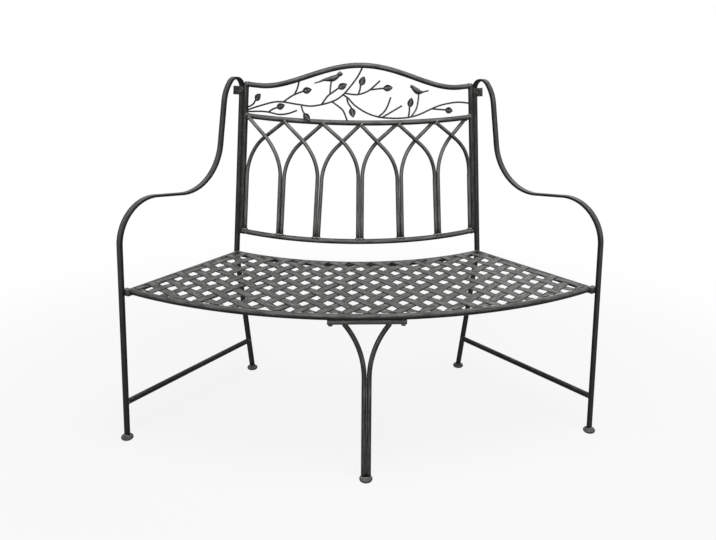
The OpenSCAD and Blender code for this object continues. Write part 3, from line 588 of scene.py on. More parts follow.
# %% Arms
POST_TOP, TAIL = 871, 10
rad = math.radians
ARM_RISE, CREST_R, DIP_R, SHOULDER_R, HOOK_R, HOOK_BACK = 522, 110, 142, 107, 28.5, 15
ARM_LEAN, RUN_LEAN = rad(9.3), rad(96.9)
SHOULDER_END, HOOK_OUT, HOOK_OVER = rad(43.3), rad(180 + 4.6 + 8.5), rad(8.5)
hook_h = POST_TOP + TAIL * math.cos(BACK_LEAN)
left = Vector((back_at(hook_h), hook_h)) - Vector((leg_at(0), 0)) - ARM_RISE * way(FRONT_LEAN)
left -= CREST_R * (aim(RUN_LEAN) - aim(FRONT_LEAN))
left += DIP_R * (aim(ARM_LEAN) - aim(RUN_LEAN))
left -= SHOULDER_R * (aim(SHOULDER_END) - aim(ARM_LEAN))
left -= HOOK_R * (aim(HOOK_OUT) - aim(SHOULDER_END))
left -= HOOK_BACK * (aim(HOOK_OUT) - aim(HOOK_OUT - HOOK_OVER))
turned = way(RUN_LEAN).cross(way(ARM_LEAN))
ARM_RUN = left.cross(way(ARM_LEAN)) / turned
ARM_UP = way(RUN_LEAN).cross(left) / turned
arm_moves = [
    (ARM_RISE - (FOOT_H + FIT) / math.cos(FRONT_LEAN),), (CREST_R, RUN_LEAN - FRONT_LEAN), (ARM_RUN,),
    (DIP_R, ARM_LEAN - RUN_LEAN), (ARM_UP,),
    (SHOULDER_R, SHOULDER_END - ARM_LEAN), (HOOK_R, HOOK_OUT - SHOULDER_END), (HOOK_BACK, -HOOK_OVER),
    (TAIL - FIT,),
]
arm_path = walk((leg_at(FOOT_H + FIT), FOOT_H + FIT), FRONT_LEAN, arm_moves)
for name, right in (("left_arm_strap", False), ("right_arm_strap", True)):
    strap(name, right, arm_path, FOOT_H + FIT, STRAP)
print("run", round(ARM_RUN, 1), "mm and upper straight", round(ARM_UP, 1), "mm")

# %% [markdown]
# The rear post leans forward under its knee and back above it, in the plane of the back.

# %% Rear posts
LEG_LEAN = math.atan2(BACK_R - REAR_FOOT, KNEE_H - FOOT_H)
KNEE_R = 80
knee = KNEE_R * math.tan((LEG_LEAN + BACK_LEAN) / 2)
post_moves = [
    ((KNEE_H - FOOT_H) / math.cos(LEG_LEAN) - knee,),
    (KNEE_R, LEG_LEAN + BACK_LEAN),
    ((POST_TOP - KNEE_H) / math.cos(BACK_LEAN) - knee,),
]
post_path = walk((REAR_FOOT, FOOT_H), -LEG_LEAN, post_moves)
for name, right in (("left_rear_post", False), ("right_rear_post", True)):
    strap(name, right, post_path, FOOT_H + FIT, POST)
print("the rear leg leans by", round(math.degrees(LEG_LEAN), 2), "degrees")

# %% [markdown]
# A plain tube runs along any list of points. Its sections stand square to the way, and their radius can
# shrink towards an end to make a rounded tip. Painted shade darkens the two lines that face neither to
# the front nor to the back, the tube's outline as seen from the front.

# %% Helper: a tube along points
def tube(points, radius, sides=16, out=Vector((0, -1, 0)), flat=1.0, tips=(False, False)):
    radii = list(radius) if isinstance(radius, (list, tuple)) else [radius] * len(points)
    points = [Vector(p) for p in points]
    for end, wanted in ((0, tips[0]), (-1, tips[1])):
        if not wanted:
            continue
        inner = points[1] if end == 0 else points[-2]
        tip, r = points[end], radii[end]
        back = (inner - tip).normalized() * r * MM
        turns = [rad(12), rad(35), rad(60), rad(90)]
        places = [tip + back * (1 - math.cos(t)) for t in turns]
        sizes = [r * math.sin(t) for t in turns]
        if end == 0:
            points, radii = places + points[1:], sizes + radii[1:]
        else:
            points, radii = points[:-1] + places[::-1], radii[:-1] + sizes[::-1]
    rings = []
    for i, p in enumerate(points):
        t = (points[min(i + 1, len(points) - 1)] - points[max(i - 1, 0)]).normalized()
        across = t.cross(out).normalized()
        rise = across.cross(t)
        ring = []
        for k in range(sides):
            w = 2 * math.pi * k / sides
            ring.append(p + (across * math.cos(w) + rise * flat * math.sin(w)) * radii[i] * MM)
        rings.append(ring)
    girth = 2 * math.pi * max(radii) * MM

    # Painted shade along the tube's two side lines, as seen from the front
    def reach(i, k):
        return 1 - 0.55 * max(0, abs(math.cos(2 * math.pi * k / sides)) - 0.6) / 0.4

    return rolled(rings, distances(points, 1), [girth * k / sides for k in range(sides + 1)], reach)


# %% [markdown]
# Each side frame has a stretcher near the floor. It is a straight tube between the straps.

# %% Stretchers
STRETCHER_H = 102
stretcher_ends = (
    REAR_FOOT + (STRETCHER_H - FOOT_H) * math.tan(LEG_LEAN) + BAR_T / 2 / math.cos(LEG_LEAN),
    leg_at(STRETCHER_H) - BAR_T / 2 - FIT,
)
for name, right in (("left_stretcher", False), ("right_stretcher", True)):
    line = []
    for i in range(25):
        radius = stretcher_ends[0] + (stretcher_ends[1] - stretcher_ends[0]) * i / 24
        line.append(on_side(right, radius, FRAME_OUT, STRETCHER_H))
    finished(name, tube(line, TUBE_R, 24, Vector((0, 0, 1))), POST)
print("stretcher length:", round(stretcher_ends[1] - stretcher_ends[0], 1), "mm")

# %% [markdown]
# A foot is a thick disc with a fully round edge. Its half outline is drawn once as an edge
# chain and spun a full turn, as on a lathe.

# %% Feet
def foot(name, place):
    bm = bmesh.new()
    round_r, flat_r = FOOT_H / 2, FOOT_R - FOOT_H / 2
    outline = [(0.0, 0.0), (flat_r - 3, 0.0)]
    for turn in range(-90, 91, 15):
        outline.append((flat_r + round_r * math.cos(rad(turn)), round_r + round_r * math.sin(rad(turn))))
    outline += [(flat_r - 3, FOOT_H), (0.0, FOOT_H)]
    points = [bm.verts.new(place + spot(r, 0, z)) for r, z in outline]
    chain = [bm.edges.new(pair) for pair in zip(points, points[1:])]
    bmesh.ops.spin(
        bm, geom=points + chain, cent=place, axis=(0, 0, 1), angle=2 * math.pi, steps=48, use_merge=True)
    bmesh.ops.remove_doubles(bm, verts=bm.verts, dist=SAME_PLACE)
    bmesh.ops.recalc_face_normals(bm, faces=bm.faces)
    return finished(name, with_uv(bm), FIXING)


foot_places = {
    "front_left_foot": on_side(False, leg_at(0), FRAME_OUT, 0),
    "front_right_foot": on_side(True, leg_at(0), FRAME_OUT, 0),
    "rear_left_foot": on_side(False, REAR_FOOT, FRAME_OUT, 0),
    "rear_right_foot": on_side(True, REAR_FOOT, FRAME_OUT, 0),
    "centre_foot": on_axis(CENTRE_FOOT, 0, 0),
}
for name, place in foot_places.items():
    foot(name, place)

# %% [markdown]
# The seat's rim is four tubes, mitred at the corners. The last ring of each is drawn out to the mitre's
# plane, so that two tubes close on each other without a gap. Painted shade leaves the underside of a rim
# nearly black and its top lighter, as if lit from above.

# %% Seat rim
WEAVE_MID = SEAT_H - STRIP_T - FIT / 2
WEAVE_OVER = 6
RIM_H = WEAVE_MID - STRIP_T - FIT / 2 - WEAVE_OVER
RIM_FRONT = SEAT_FRONT - RIM_R
knee_cut = KNEE_R / math.cos((LEG_LEAN + BACK_LEAN) / 2) - KNEE_R
leg_at_rim = BACK_R - knee_cut - max(0, KNEE_H - RIM_H) * math.tan(LEG_LEAN)
RIM_REAR = leg_at_rim + BAR_T / 2 + 2 * FIT + RIM_R
RIM_SECTION = circle(RIM_R, 24)


def rim(name, place, steps, length):
    # A place takes the part of the way, from 0 to 1, and a point of the section
    rings = [[place(i / steps, *point) for point in RIM_SECTION] for i in range(steps + 1)]
    along = [length * MM * i / steps for i in range(steps + 1)]

    # Painted shade: nearly black underneath, lighter over the top
    def reach(i, k):
        return min(1, max(0, 0.6 + 1.1 * RIM_SECTION[k][1] / RIM_R))

    return finished(name, rolled(rings, along, distances(RIM_SECTION, close=True), reach), RIM)


def rim_arc(name, radius, front, steps):
    def place(part, a, b):
        gap = RIM_R - a if front else RIM_R + a
        end = HALF - math.asin(gap / (radius + a))
        return on_axis(radius + a, (2 * part - 1) * end, RIM_H + b)

    return rim(name, place, steps, 2 * radius * HALF)


def rim_side(name, right):
    def place(part, c, b):
        low, high = RIM_REAR - c, RIM_FRONT + c
        return on_side(right, low + (high - low) * part, c - RIM_R, RIM_H + b)

    return rim(name, place, 24, RIM_FRONT - RIM_REAR)


rim_arc("seat_front_rim", RIM_FRONT, True, 120)
rim_arc("seat_rear_rim", RIM_REAR, False, 72)
rim_side("seat_left_rim", False)
rim_side("seat_right_rim", True)
print("rim radii:", RIM_FRONT, round(RIM_REAR, 2), "mm")

# %% [markdown]
# The seat is woven from two sets of thin strips that cross in diamonds. A strip goes over one
# neighbour and under the next in a soft wave. Each line along it is cut where it leaves the
# seat's outline, so the ends are slanted or curved as they are on the bench.

# %% Woven strips
PITCH_X, PITCH_Y, WEAVE_START = 30.3, 37.6, 194
WEAVE_Y = WEAVE_START - SEAT_FRONT
STRIP_STEP = 6
PITCH = math.hypot(PITCH_X, PITCH_Y)
LEAN = math.atan2(PITCH_Y, PITCH_X)
FLAT = STRIP_W / 2 / math.sin(2 * LEAN) + STRIP_W / 2 / abs(math.tan(2 * LEAN))
LIFT = (STRIP_T + FIT) / 2
INSET = RIM_R + math.sqrt(RIM_R ** 2 - WEAVE_OVER ** 2) + FIT
REACH = math.ceil((SEAT_FRONT * math.sin(HALF) / PITCH_X + SEAT_FRONT / 3 / PITCH_Y) / 2) + 1


def in_seat(x, y):
    radius = math.hypot(x, y)
    from_side = abs(x) * math.cos(HALF) + y * math.sin(HALF)
    return RIM_REAR - RIM_R + INSET < radius < SEAT_FRONT - INSET and from_side < -INSET and y < 0


def wave(u, parity):
    i = math.floor(u / PITCH - 0.5)
    inside = u - (i + 0.5) * PITCH
    here = LIFT if (i + parity) % 2 == 0 else -LIFT
    if inside < FLAT:
        return here
    if inside > PITCH - FLAT:
        return -here
    t = (inside - FLAT) / (PITCH - 2 * FLAT)
    return here * (1 - 2 * t * t * (3 - 2 * t))


def ends_in_seat(start, d, step=4.0):
    tried = [step * i for i in range(-260, 261)]
    inside = [u for u in tried if in_seat(start.x + u * d.x, start.y + u * d.y)]
    if not inside:
        return None
    ends = []
    for u, way_out in ((inside[0], -step), (inside[-1], step)):
        a, b = u, u + way_out
        for _ in range(18):
            m = (a + b) / 2
            if in_seat(start.x + m * d.x, start.y + m * d.y):
                a = m
            else:
                b = m
        ends.append(a)
    return ends


def strip(centre, turn, parity):
    d, side = aim(turn), way(turn)
    section = round_bar(STRIP_T, STRIP_W, 0.4, 2, 8)
    lines = [ends_in_seat(centre + b * side, d) for a, b in section]
    if any(line is None for line in lines):
        # A short strip at a corner keeps the lines that lie on the seat
        known = [k for k, line in enumerate(lines) if line]
        if len(known) < 2:
            return None
        for k, line in enumerate(lines):
            if line is None:
                near = min(known, key=lambda j: abs(section[j][1] - section[k][1]))
                lines[k] = lines[near]
                section[k] = (section[k][0], section[near][1])
    longest = max(line[1] - line[0] for line in lines)
    steps = max(2, math.ceil(longest / STRIP_STEP))
    rings = []
    for i in range(steps + 1):
        ring = []
        for (a, b), (low, high) in zip(section, lines):
            u = low + (high - low) * i / steps
            p = centre + b * side + u * d
            ring.append(spot(p.x, p.y + AXIS_Y, WEAVE_MID + wave(u, parity) + a))
        rings.append(ring)
    along = [longest * MM * i / steps for i in range(steps + 1)]

    # Painted shade: dark lines along both edges of a strip, where it shades the strip beneath
    def reach(i, k):
        return 1 - 0.9 * abs(section[k][1] / (STRIP_W / 2)) ** 6

    return rolled(rings, along, distances(section, close=True), reach)


def woven(name, right):
    strips = []
    for j in range(-REACH, REACH + 1):
        centre = Vector((0, WEAVE_Y)) + (j + 0.5) * Vector((PITCH_X, -PITCH_Y if right else PITCH_Y))
        made = strip(centre, LEAN if right else -LEAN, j if right else j + 1)
        if made:
            strips.append(made)
    print(name, "is woven from", len(strips), "strips")
    return finished(name, put_together(strips), STRIP, 30)


woven("seat_strips_leaning_right", True)
woven("seat_strips_leaning_left", False)

# %% [markdown]
# The centre leg is two rods that stand side by side and part like a Y under the crossbar.
# They share one leaning plane, so a point's depth follows from its height.

# %% Centre leg
CROSSBAR_X = 188 / 2 - 8
CROSSBAR_Y = -math.sqrt(RIM_FRONT ** 2 - CROSSBAR_X ** 2)
CROSSBAR_TOP = RIM_H - RIM_R - FIT
CROSSBAR_LOW = CROSSBAR_TOP - 10
FORK_H, FORK_R, LEG_ROD = 252, 205, 6
centre_lean = math.atan2(CENTRE_FOOT + CROSSBAR_Y, CROSSBAR_LOW - FOOT_H)
fork_turn = math.asin((CROSSBAR_LOW - FORK_H) / FORK_R)
leg_path = walk((LEG_ROD + FIT / 2, FOOT_H + FIT), 0, [(FORK_H - FOOT_H - FIT,), (FORK_R, -fork_turn)])


def leg_line(right):
    line = []
    for (a, _), (b, _) in zip(leg_path, leg_path[1:]):
        steps = max(1, math.ceil((b - a).length / 12))
        line += [a + (b - a) * i / steps for i in range(steps)]
    line.append(leg_path[-1][0])
    places = []
    for p in line:
        depth = (p.y - FOOT_H) * math.tan(centre_lean) - CENTRE_FOOT
        places.append(spot(p.x if right else -p.x, depth + AXIS_Y, p.y))
    return places


for name, right in (("centre_leg_left_rod", False), ("centre_leg_right_rod", True)):
    finished(name, tube(leg_line(right), LEG_ROD, 20), POST)
print("the leg's rods part by", round(2 * leg_path[-1][0].x, 1), "mm at the crossbar")

# %% [markdown]
# The stiles stand against the posts' inner edges and end in a ball. The three rails between
# them follow the back's curve, and the top one swells to a crown in the middle.

# %% Stiles and rails
STILE_IN = BAR_LAP + FIT + TUBE_R
CROWN_RISE, CROWN_HALF, CROWN_SKIRT = 71, 298, 0.95
STILE_STEPS, RAIL_STEPS = 24, 96
RAIL_SUNK = 0.5


def stile_u(z):
    return back_at(z) * HALF - STILE_IN


def crown(u):
    if abs(u) >= CROWN_HALF:
        return 0
    return CROWN_RISE * ((1 + math.cos(math.pi * u / CROWN_HALF)) / 2) ** CROWN_SKIRT


def stile(name, right):
    low = BOTTOM_H - TUBE_R
    line = []
    for i in range(STILE_STEPS + 1):
        z = low + (TOP_H - low) * i / STILE_STEPS
        line.append(on_side(right, back_at(z), -STILE_IN, z))
    # The ball on top
    up = (line[-1] - line[-2]).normalized()
    line.append(line[-1] + up * TUBE_R * MM)
    return finished(name, tube(line, TUBE_R, 24, tips=(False, True)), POST)


def rail(name, z, crowned):
    end = stile_u(z) - TUBE_R + RAIL_SUNK
    line = []
    for i in range(RAIL_STEPS + 1):
        u = end * (2 * i / RAIL_STEPS - 1)
        line.append(on_back(u, z + (crown(u) if crowned else 0)))
    return finished(name, tube(line, TUBE_R, 24), TUBE)


stile("left_stile", False)
stile("right_stile", True)
rail("bottom_rail", BOTTOM_H, False)
rail("middle_rail", MIDDLE_H, False)
rail("top_rail", TOP_H, True)

# %% [markdown]
# From every foot on the bottom rail two rods rise, lean over and meet the rods of their
# neighbours in pointed heads. The two sets lie in two layers, one in front of the other.

# %% Arch rods
FIELDS, ARCH_R, SPRING_H, SPRING_DROP = 3, 148, 652, 17
FOOT_OFF, SPRING_DRAW, HEAD_PASS, HEAD_DRAW = 7, 3, 4, 8
FOOT_END = stile_u(BOTTOM_H) - TUBE_R - ROD_R - FIT
HEAD_END = stile_u(MIDDLE_H) - TUBE_R - ROD_R - FIT
LAYER = ROD_R + FIT
SUNK = 1.5
RISE_STEPS, TURN_STEPS, LEAN_STEPS = 8, 12, 6


def sign(x):
    return (x > 0) - (x < 0)


def foot_u(k):
    return FOOT_END * k / FIELDS - (FOOT_OFF if k == -1 else 0)


def spring_u(k):
    even = FOOT_END * k / FIELDS
    drawn = 0 if abs(k) == FIELDS else sign(k) * SPRING_DRAW
    return (even + foot_u(k)) / 2 * back_at(SPRING_H) / back_at(BOTTOM_H) - drawn


def head_u(k):
    return HEAD_END * k / FIELDS - sign(k) * HEAD_DRAW * math.sin(math.pi * abs(k) / FIELDS)


def arch_feet(s):
    return range(1 - FIELDS, FIELDS + 1) if s < 0 else range(-FIELDS, FIELDS)


def arch_way(k, s):
    aside = 0 if abs(k) == FIELDS else s * LAYER
    low = foot_u(k) + aside
    spring = spring_u(k) + aside
    spring_h = SPRING_H - (SPRING_DROP if k * s < 0 else 0)
    head = head_u(k + s) + (0 if abs(k + s) == FIELDS else s * HEAD_PASS)
    dx = abs(head - spring)
    dz = MIDDLE_H - spring_h
    turn = math.atan2(dz, ARCH_R - dx) - math.acos(ARCH_R / math.hypot(ARCH_R - dx, dz))
    n = -s * LAYER
    rail_top = BOTTOM_H + TUBE_R
    line = [(low, rail_top - SUNK, 0)]
    for i in range(1, RISE_STEPS):
        part = i / RISE_STEPS
        line.append((low + (spring - low) * part, rail_top + (spring_h - rail_top) * part, 0))
    for i in range(TURN_STEPS + 1):
        t = turn * i / TURN_STEPS
        over = s * ARCH_R * (1 - math.cos(t))
        line.append((spring + over, spring_h + ARCH_R * math.sin(t), n * min(1, 1.6 * i / TURN_STEPS)))
    a, b = Vector(line[-1]), Vector((head, MIDDLE_H, n))
    line += [tuple(a + (b - a) * i / LEAN_STEPS) for i in range(1, LEAN_STEPS)]
    line.append(tuple(a + (b - a) * (1 - TUBE_R * 0.8 / (b - a).length)))
    return line


def arch_rods(name, s):
    rods = [tube([on_back(*p) for p in arch_way(k, s)], ROD_R, 16) for k in arch_feet(s)]
    return finished(name, put_together(rods), ROD)


arch_rods("arch_rods_rising_left", -1)
arch_rods("arch_rods_rising_right", 1)

# %% [markdown]
# The vine's stems are thin rods bent by eye. Their lines run smoothly through a few places,
# told as parts: across from the middle to a stile, and up from the middle rail to the top one.

# %% Lines of the vine
PANEL_HALF = stile_u(MIDDLE_H)


def level(u, up):
    return MIDDLE_H + up * (TOP_H + crown(u) - MIDDLE_H)


def at(across, up, n=0.0):
    u = across * PANEL_HALF
    return Vector((u, level(u, up), n))


def at_stile(side, up):
    z = level(side * PANEL_HALF, up)
    return Vector((side * stile_u(z), z, 0))


def smooth(points, steps=8):
    line = []
    for i in range(len(points) - 1):
        a = points[i - 1] if i else 2 * points[0] - points[1]
        b, c = points[i], points[i + 1]
        d = points[i + 2] if i + 2 < len(points) else 2 * points[-1] - points[-2]
        for s in range(steps):
            t = s / steps
            line.append(0.5 * (2 * b + (c - a) * t + (2 * a - 5 * b + 4 * c - d) * t * t
                               + (3 * b - a - 3 * c + d) * t * t * t))
    return line + [points[-1]]


def on_line(line, across):
    u = across * PANEL_HALF
    i = 0
    while i + 2 < len(line) and line[i + 1].x < u:
        i += 1
    a, b = line[i], line[i + 1]
    return a + (b - a) * (u - a.x) / (b.x - a.x)


upper_line = smooth([at_stile(-1, 0.155)] + [at(*p) for p in (
    (-0.832, 0.39), (-0.68, 0.508), (-0.504, 0.394), (-0.386, 0.334), (-0.232, 0.39), (-0.137, 0.512),
    (-0.033, 0.786), (0.018, 1))])
middle_line = smooth([at_stile(-1, 0.12)] + [at(*p) for p in (
    (-0.86, 0.184), (-0.776, 0.19), (-0.675, 0.139), (-0.591, 0.175), (-0.515, 0.255))])
lower_line = smooth([on_line(upper_line, -0.142)] + [at(*p) for p in (
    (-0.1, 0.435), (-0.05, 0.313), (0.039, 0.186), (0.137, 0.111), (0.224, 0.09), (0.3, 0.086),
    (0.392, 0.104), (0.482, 0.17), (0.582, 0.31), (0.661, 0.421), (0.756, 0.502), (0.865, 0.52))]
    + [at_stile(1, 0.435)])
print("upper, middle and lower lines have", len(upper_line), len(middle_line), len(lower_line), "points")

# %% [markdown]
# Leaves sit on short stalks. Their middles and the angles that they point to come first,
# because the stalks end at their roots. Then each twig gets its line.

# %% Lines of the twigs
LEAF_L, LEAF_W, LEAF_T = 28, 19, 2
# Each leaf: the place of its middle, and the angle in degrees that it points to
leaves = [
    ((-0.871, 0.629), 48), ((-0.658, 0.372), 22), ((-0.431, 0.691), 15), ((-0.426, 0.1, 10), -52),
    ((-0.146, 0.656), 28), ((0.011, 0.731), 68), ((0.216, 0.649), 3), ((-0.067, 0.181), -79),
    ((0.406, 0.431), 78), ((0.759, 0.283), -12),
]


def leaf_root(i):
    place, turn = at(*leaves[i][0]), rad(leaves[i][1])
    return place - (LEAF_L / 2 - 1) * Vector((math.cos(turn), math.sin(turn), 0))


left_twig = smooth([on_line(upper_line, -0.636), at(-0.552, 0.636), leaf_root(2)])
crown_twig = smooth([on_line(upper_line, -0.129)] + [at(*p) for p in (
    (-0.07, 0.501), (-0.022, 0.497), (0.028, 0.528), (0.076, 0.592), (0.154, 0.764))])
perch_twig = smooth([on_line(upper_line, -0.314), at(-0.266, 0.499), at(-0.221, 0.568), leaf_root(4)])
twig_lines = [
    left_twig, crown_twig, perch_twig,
    smooth([at_stile(-1, 0.23), at(-0.924, 0.38), leaf_root(0)]),
    smooth([on_line(left_twig, -0.54), at(-0.515, 0.781), at(-0.493, 1)]),
    smooth([on_line(middle_line, -0.773), at(-0.725, 0.298), leaf_root(1)]),
    smooth([on_line(upper_line, -0.482), at(-0.468, 0.275, 5), leaf_root(3)]),
    smooth([on_line(upper_line, -0.23), at(-0.174, 0.289), at(-0.137, 0.203), at(-0.101, 0)]),
    smooth([on_line(crown_twig, -0.022), at(-0.008, 0.581), leaf_root(5)]),
    smooth([on_line(crown_twig, 0.07), at(0.129, 0.608), leaf_root(6)]),
    smooth([on_line(lower_line, -0.113), at(-0.101, 0.355), leaf_root(7)]),
    smooth([on_line(lower_line, 0.14), at(0.182, 0.19), at(0.213, 0.302), at(0.241, 0.49)]),
    smooth([on_line(lower_line, 0.17), at(0.243, 0.2), at(0.336, 0.346)]),
    smooth([on_line(lower_line, 0.39), at(0.397, 0.239), leaf_root(8)]),
    smooth([on_line(lower_line, 0.594), at(0.666, 0.315), leaf_root(9)]),
]
FREE_TIPS = (1, 11, 12)
print("twigs:", len(twig_lines))

# %% [markdown]
# The stems are made as tubes. A free tip is rounded, and a stem that ends on a tube or on
# another stem runs into it.

# %% Stems and twigs
def stem(line, tips=(False, False)):
    return tube([on_back(*p) for p in line], STEM_R, 12, tips=tips)


finished("vine_upper_stem", stem(upper_line), VINE)
finished("vine_middle_stem", stem(middle_line, (False, True)), VINE)
finished("vine_lower_stem", stem(lower_line), VINE)
twig_tubes = [stem(line, (False, i in FREE_TIPS)) for i, line in enumerate(twig_lines)]
finished("vine_twigs", put_together(twig_tubes), VINE)

# %% [markdown]
# A leaf is stamped from sheet and then pressed, so it has a raised midrib, side veins and a
# turned edge. A grid is rolled to a flat closed sleeve whose width follows the leaf's outline,
# and the veins are a small wave in its height.

# %% Leaves
VEINS, VEIN_SLANT = 6.5, 0.9


def side_veins(s, t):
    return math.cos(2 * math.pi * (s * VEINS - abs(t) * VEIN_SLANT))


def leaf(place, turn):
    u0, z0, n0 = place
    steps, half = 28, 10
    section = [-1 + 2 * k / half for k in range(half + 1)]
    rings = []
    for i in range(steps + 1):
        s = i / steps
        wide = LEAF_W / 2 * max(0.02, math.sin(math.pi * min(1, s ** 0.85)) ** 0.8)
        x = (s - 0.5) * LEAF_L
        ring = []
        for side in (1, -1):
            for t in section[1:-1] if side < 0 else section:
                t = t * side
                cup = 1.2 * (t * t - 0.5) * (wide / (LEAF_W / 2))
                rib = 0.75 * math.exp(-(t * wide / 1.1) ** 2)
                vein = 0.28 * side_veins(s, t) * min(1, abs(t) * 4) * (1 - abs(t) ** 4)
                n = cup + (LEAF_T / 4 + rib + vein if side > 0 else -LEAF_T / 4)
                du = x * math.cos(turn) - t * wide * math.sin(turn)
                dz = x * math.sin(turn) + t * wide * math.cos(turn)
                ring.append(on_back(u0 + du, z0 + dz, n0 + n))
        rings.append(ring)
    count = len(rings[0])
    around = [LEAF_W * 2 * MM * k / count for k in range(count + 1)]

    # Painted highlight and shade: lighter along the midrib and side veins, darker towards the leaf's
    # edge, tip and base, and the back half shaded
    def reach(i, k):
        if k > half:
            return 0.5
        t = section[k]
        veins = 0.5 * math.exp(-(t / 0.16) ** 2) + 0.3 * side_veins(i / steps, t)
        ends = min(1, 5 * i / steps, 5 - 5 * i / steps)
        return max(0, (0.55 + veins) * (1 - abs(t) ** 3) * ends)

    return rolled(rings, [LEAF_L * MM * i / steps for i in range(steps + 1)], around, reach)


leaf_parts = [leaf(at(*place), rad(turn)) for place, turn in leaves]
finished("vine_leaves", put_together(leaf_parts), LEAF, 50)

# %% [markdown]
# The birds are flat castings. A body is a sweep from tail to neck with a radius at each place,
# and the head is a ball of its own with a small cone for a beak. A wing lies on each side as a
# raised drop that follows the body's line, and a small bead is the eye.

# %% Birds
BIRD_FLAT = 0.6
left_bird_shape = [
    (-0.584, -0.05, 0.02), (-0.414, 0.005, 0.028), (-0.252, 0.072, 0.044), (-0.09, 0.103, 0.076),
    (0.054, 0.132, 0.1), (0.175, 0.194, 0.08), (0.245, 0.253, 0.066), (0.29, 0.288, 0.05),
]
right_bird_shape = [
    (-0.526, 0.19, 0.036), (-0.35, 0.165, 0.04), (-0.196, 0.139, 0.052), (-0.067, 0.139, 0.1),
    (0.062, 0.178, 0.137), (0.19, 0.271, 0.124), (0.3, 0.371, 0.09), (0.35, 0.41, 0.06),
]


def ball(centre, radius, flat=1.0):
    bm = bmesh.new()
    bmesh.ops.create_uvsphere(bm, u_segments=20, v_segments=12, radius=radius * MM)
    bmesh.ops.scale(bm, vec=(1, flat, 1), verts=bm.verts)
    bmesh.ops.translate(bm, vec=centre, verts=bm.verts)
    return with_uv(bm)


def beak(start, end, radius):
    bm = bmesh.new()
    long = (end - start).length
    thick, thin = radius * MM, radius * 0.15 * MM
    bmesh.ops.create_cone(bm, cap_ends=True, segments=12, radius1=thick, radius2=thin, depth=long)
    turn = (end - start).to_track_quat("Z", "Y").to_matrix()
    bmesh.ops.rotate(bm, cent=(0, 0, 0), matrix=turn, verts=bm.verts)
    bmesh.ops.translate(bm, vec=(start + end) / 2, verts=bm.verts)
    return with_uv(bm)


def bird_parts(shape, size, foot_at, head, beak_tip):
    facing = sign(size)
    size = abs(size)

    def placed(x, z):
        return foot_at.x + facing * size * x, foot_at.y + size * z

    keys = [Vector((*placed(x, z), size * r)) for x, z, r in shape]
    line = smooth(keys, 6)
    body = [on_back(p.x, p.y) for p in line]
    parts = [tube(body, [max(0.4, p.z) for p in line], 20, flat=BIRD_FLAT, tips=(True, True))]
    # Wings
    inner = [p for p in line if -0.3 < facing * (p.x - foot_at.x) / size < 0.16]
    swell = [math.sin(math.pi * (i + 0.5) / len(inner)) ** 0.6 for i in range(len(inner))]
    thick = [max(0.3, 0.55 * p.z * r) for p, r in zip(inner, swell)]
    for n in (1, -1):
        wing = [on_back(p.x, p.y, n * BIRD_FLAT * 0.85 * p.z) for p in inner]
        parts.append(tube(wing, thick, 12, flat=0.35, tips=(True, True)))
    # Head, beak and eyes
    x, z, r = head
    u, h = placed(x, z)
    middle = on_back(u, h)
    tip = on_back(*placed(*beak_tip))
    parts.append(ball(middle, size * r, 0.8))
    parts.append(beak(middle + (tip - middle) * 0.45, tip, size * r * 0.5))
    for n in (1, -1):
        eye = on_back(u + facing * size * r * 0.25, h + size * r * 0.25, n * size * r * 0.72)
        parts.append(ball(eye, 0.9))
    return parts


def bird(name, shape, size, parts, perch, across, leg, foot_at):
    belly = min(z - r for x, z, r in shape if abs(x) < 0.1)
    leg_top = foot_at + Vector((0, size * belly, 0))
    parts.append(stem(smooth([on_line(perch, across)] + leg + [leg_top])))
    return finished(name, put_together(parts), BIRD, 50)


left_foot, right_foot = at(-0.236, 0.752), at(0.476, 0.627)
left_parts = bird_parts(left_bird_shape, 83, left_foot, (0.29, 0.292, 0.085), (0.407, 0.288))
right_parts = bird_parts(right_bird_shape, -60, right_foot, (0.35, 0.415, 0.088), (0.46, 0.465))
bird("left_bird", left_bird_shape, 83, left_parts, perch_twig, -0.246, [at(-0.242, 0.67)], left_foot)
bird("right_bird", right_bird_shape, 60, right_parts, lower_line, 0.412,
     [at(0.454, 0.286), at(0.47, 0.461)], right_foot)

# %% [markdown]
# Tabs, lugs, the crossbar, the stiffeners and the fixings have the right shape already. A
# copy of each node is merged, its flat faces are joined, and its sharp edges get a fine bevel,
# because real cut steel always has a small round that catches the light.

# %% Dressed copies of plain pieces
def dressed(name, material, width):
    bm = bmesh.new()
    bm.from_mesh(frame["nodes"][name].data)
    bm.transform(frame["nodes"][name].matrix_world)
    bmesh.ops.remove_doubles(bm, verts=bm.verts, dist=1e-6)
    bmesh.ops.dissolve_limit(bm, angle_limit=rad(1), verts=bm.verts, edges=bm.edges)
    edges = [e for e in bm.edges if e.is_manifold and e.calc_face_angle(0) > rad(30)]
    bmesh.ops.bevel(
        bm, geom=edges, offset=width * MM, segments=2, profile=0.5, affect="EDGES", material=-1)
    return finished(name, with_uv(bm), material, 32)


for name in ("left_hook_tab", "right_hook_tab", "seat_left_lug", "seat_right_lug", "hook_bolts",
             "hook_nuts", "crossbar_bolts"):
    dressed(name, FIXING, 0.4)
dressed("centre_leg_crossbar", TUBE, 0.8)
for place in ("left", "middle", "right"):
    dressed("seat_stiffener_" + place, TUBE, 0.6)

# %% [markdown]
# Where a rod meets a rail it is welded, and the bead shows pale and rough under the paint. A
# bead is a thin ring round the joint whose thickness swells and shrinks a little.

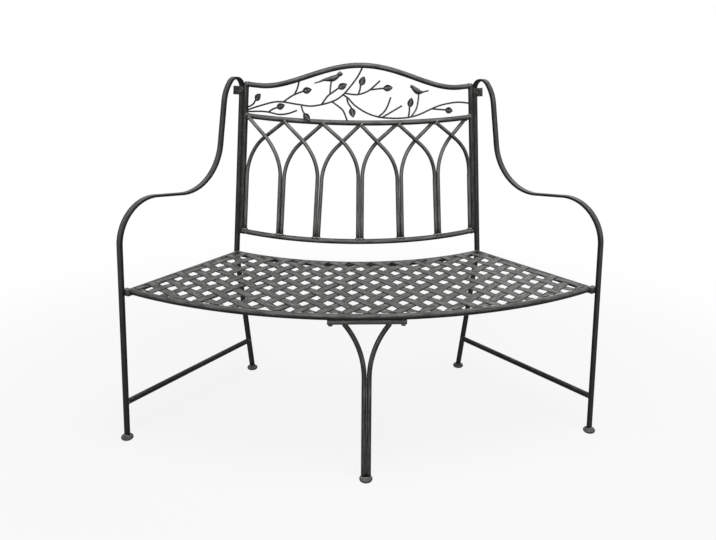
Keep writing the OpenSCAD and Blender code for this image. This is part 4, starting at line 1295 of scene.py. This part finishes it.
# %% Weld beads
def bead(centre, axis, radius, thick, seed=0, flat=1.0, wide=None):
    # A wide bead is an oval: wide gives the way of its first radius, and its second radius
    axis = axis.normalized()
    first = axis.orthogonal() if wide is None else wide[0] - axis * wide[0].dot(axis)
    first.normalize()
    second = axis.cross(first)
    rx, ry = (radius, radius) if wide is None else (radius, wide[1])
    steps, sides = 28, 8
    rings = []
    for i in range(steps + 1):
        t = 2 * math.pi * (i % steps) / steps
        out = (first * math.cos(t) * rx + second * math.sin(t) * ry) * MM
        way_out = (first * math.cos(t) / rx + second * math.sin(t) / ry).normalized()
        swell = 1 + 0.16 * math.sin(5 * t + seed) + 0.12 * math.sin(11 * t + 2.3 * seed)
        ring = []
        for k in range(sides):
            w = 2 * math.pi * k / sides
            turned_out = way_out * math.cos(w) + axis * math.sin(w) * flat
            ring.append(centre + out + turned_out * thick * swell * MM)
        rings.append(ring)
    girth = [0.01 * k / sides for k in range(sides + 1)]
    return rolled(rings, [0.05 * i / steps for i in range(steps + 1)], girth, loop=True)


def tangent(a, b):
    return (b - a).normalized()


beads = []
for s in (-1, 1):
    for k in arch_feet(s):
        line = [on_back(*p) for p in arch_way(k, s)]
        up, on = tangent(line[0], line[1]), tangent(line[-2], line[-1])
        beads.append(bead(line[0] + up * 1.6 * MM, up, ROD_R + 0.4, 2.3, k + 2 * s))
        beads.append(bead(line[-1] - on * 1.2 * MM, on, ROD_R + 0.4, 2.2, 2 * k - s))
for side in (-1, 1):
    for z in (BOTTOM_H, MIDDLE_H, TOP_H):
        end, inner = [on_back(side * (stile_u(z) - TUBE_R - off), z) for off in (0.3, 8)]
        beads.append(bead(end, tangent(end, inner), TUBE_R + 0.2, 1.5, z + side))
for right in (False, True):
    for radius, far in ((stretcher_ends[0] + 0.6, 1), (stretcher_ends[1] - 0.6, -1)):
        end, inner = [on_side(right, radius + far * off, FRAME_OUT, STRETCHER_H) for off in (0, 10)]
        beads.append(bead(end, tangent(end, inner), TUBE_R + 0.2, 1.3, radius))
UP = Vector((0, 0, 1))
for name, place in foot_places.items():
    top = place + spot(0, 0, FOOT_H + 0.6)
    if name == "centre_foot":
        beads.append(bead(top, UP, 2 * LEG_ROD + 0.8, 1.8, 3, 0.8, (Vector((1, 0, 0)), LEG_ROD + 0.8)))
        continue
    right = "right" in name
    across = on_side(right, 0, 1, 0) - on_side(right, 0, 0, 0)
    beads.append(bead(top, UP, BAR_W / 2 + 0.8, 1.8, len(name), 0.8, (across, BAR_T / 2 + 1.4)))
finished("weld_beads", put_together(beads), WELD, sharp=60, extra=True)

# %% [markdown]
# Last, every CAD node that still shows is listed.

# %% CAD nodes that still show
shown = [name for name, node in frame["nodes"].items() if not node.hide_render]
print("CAD nodes that still show:", shown)
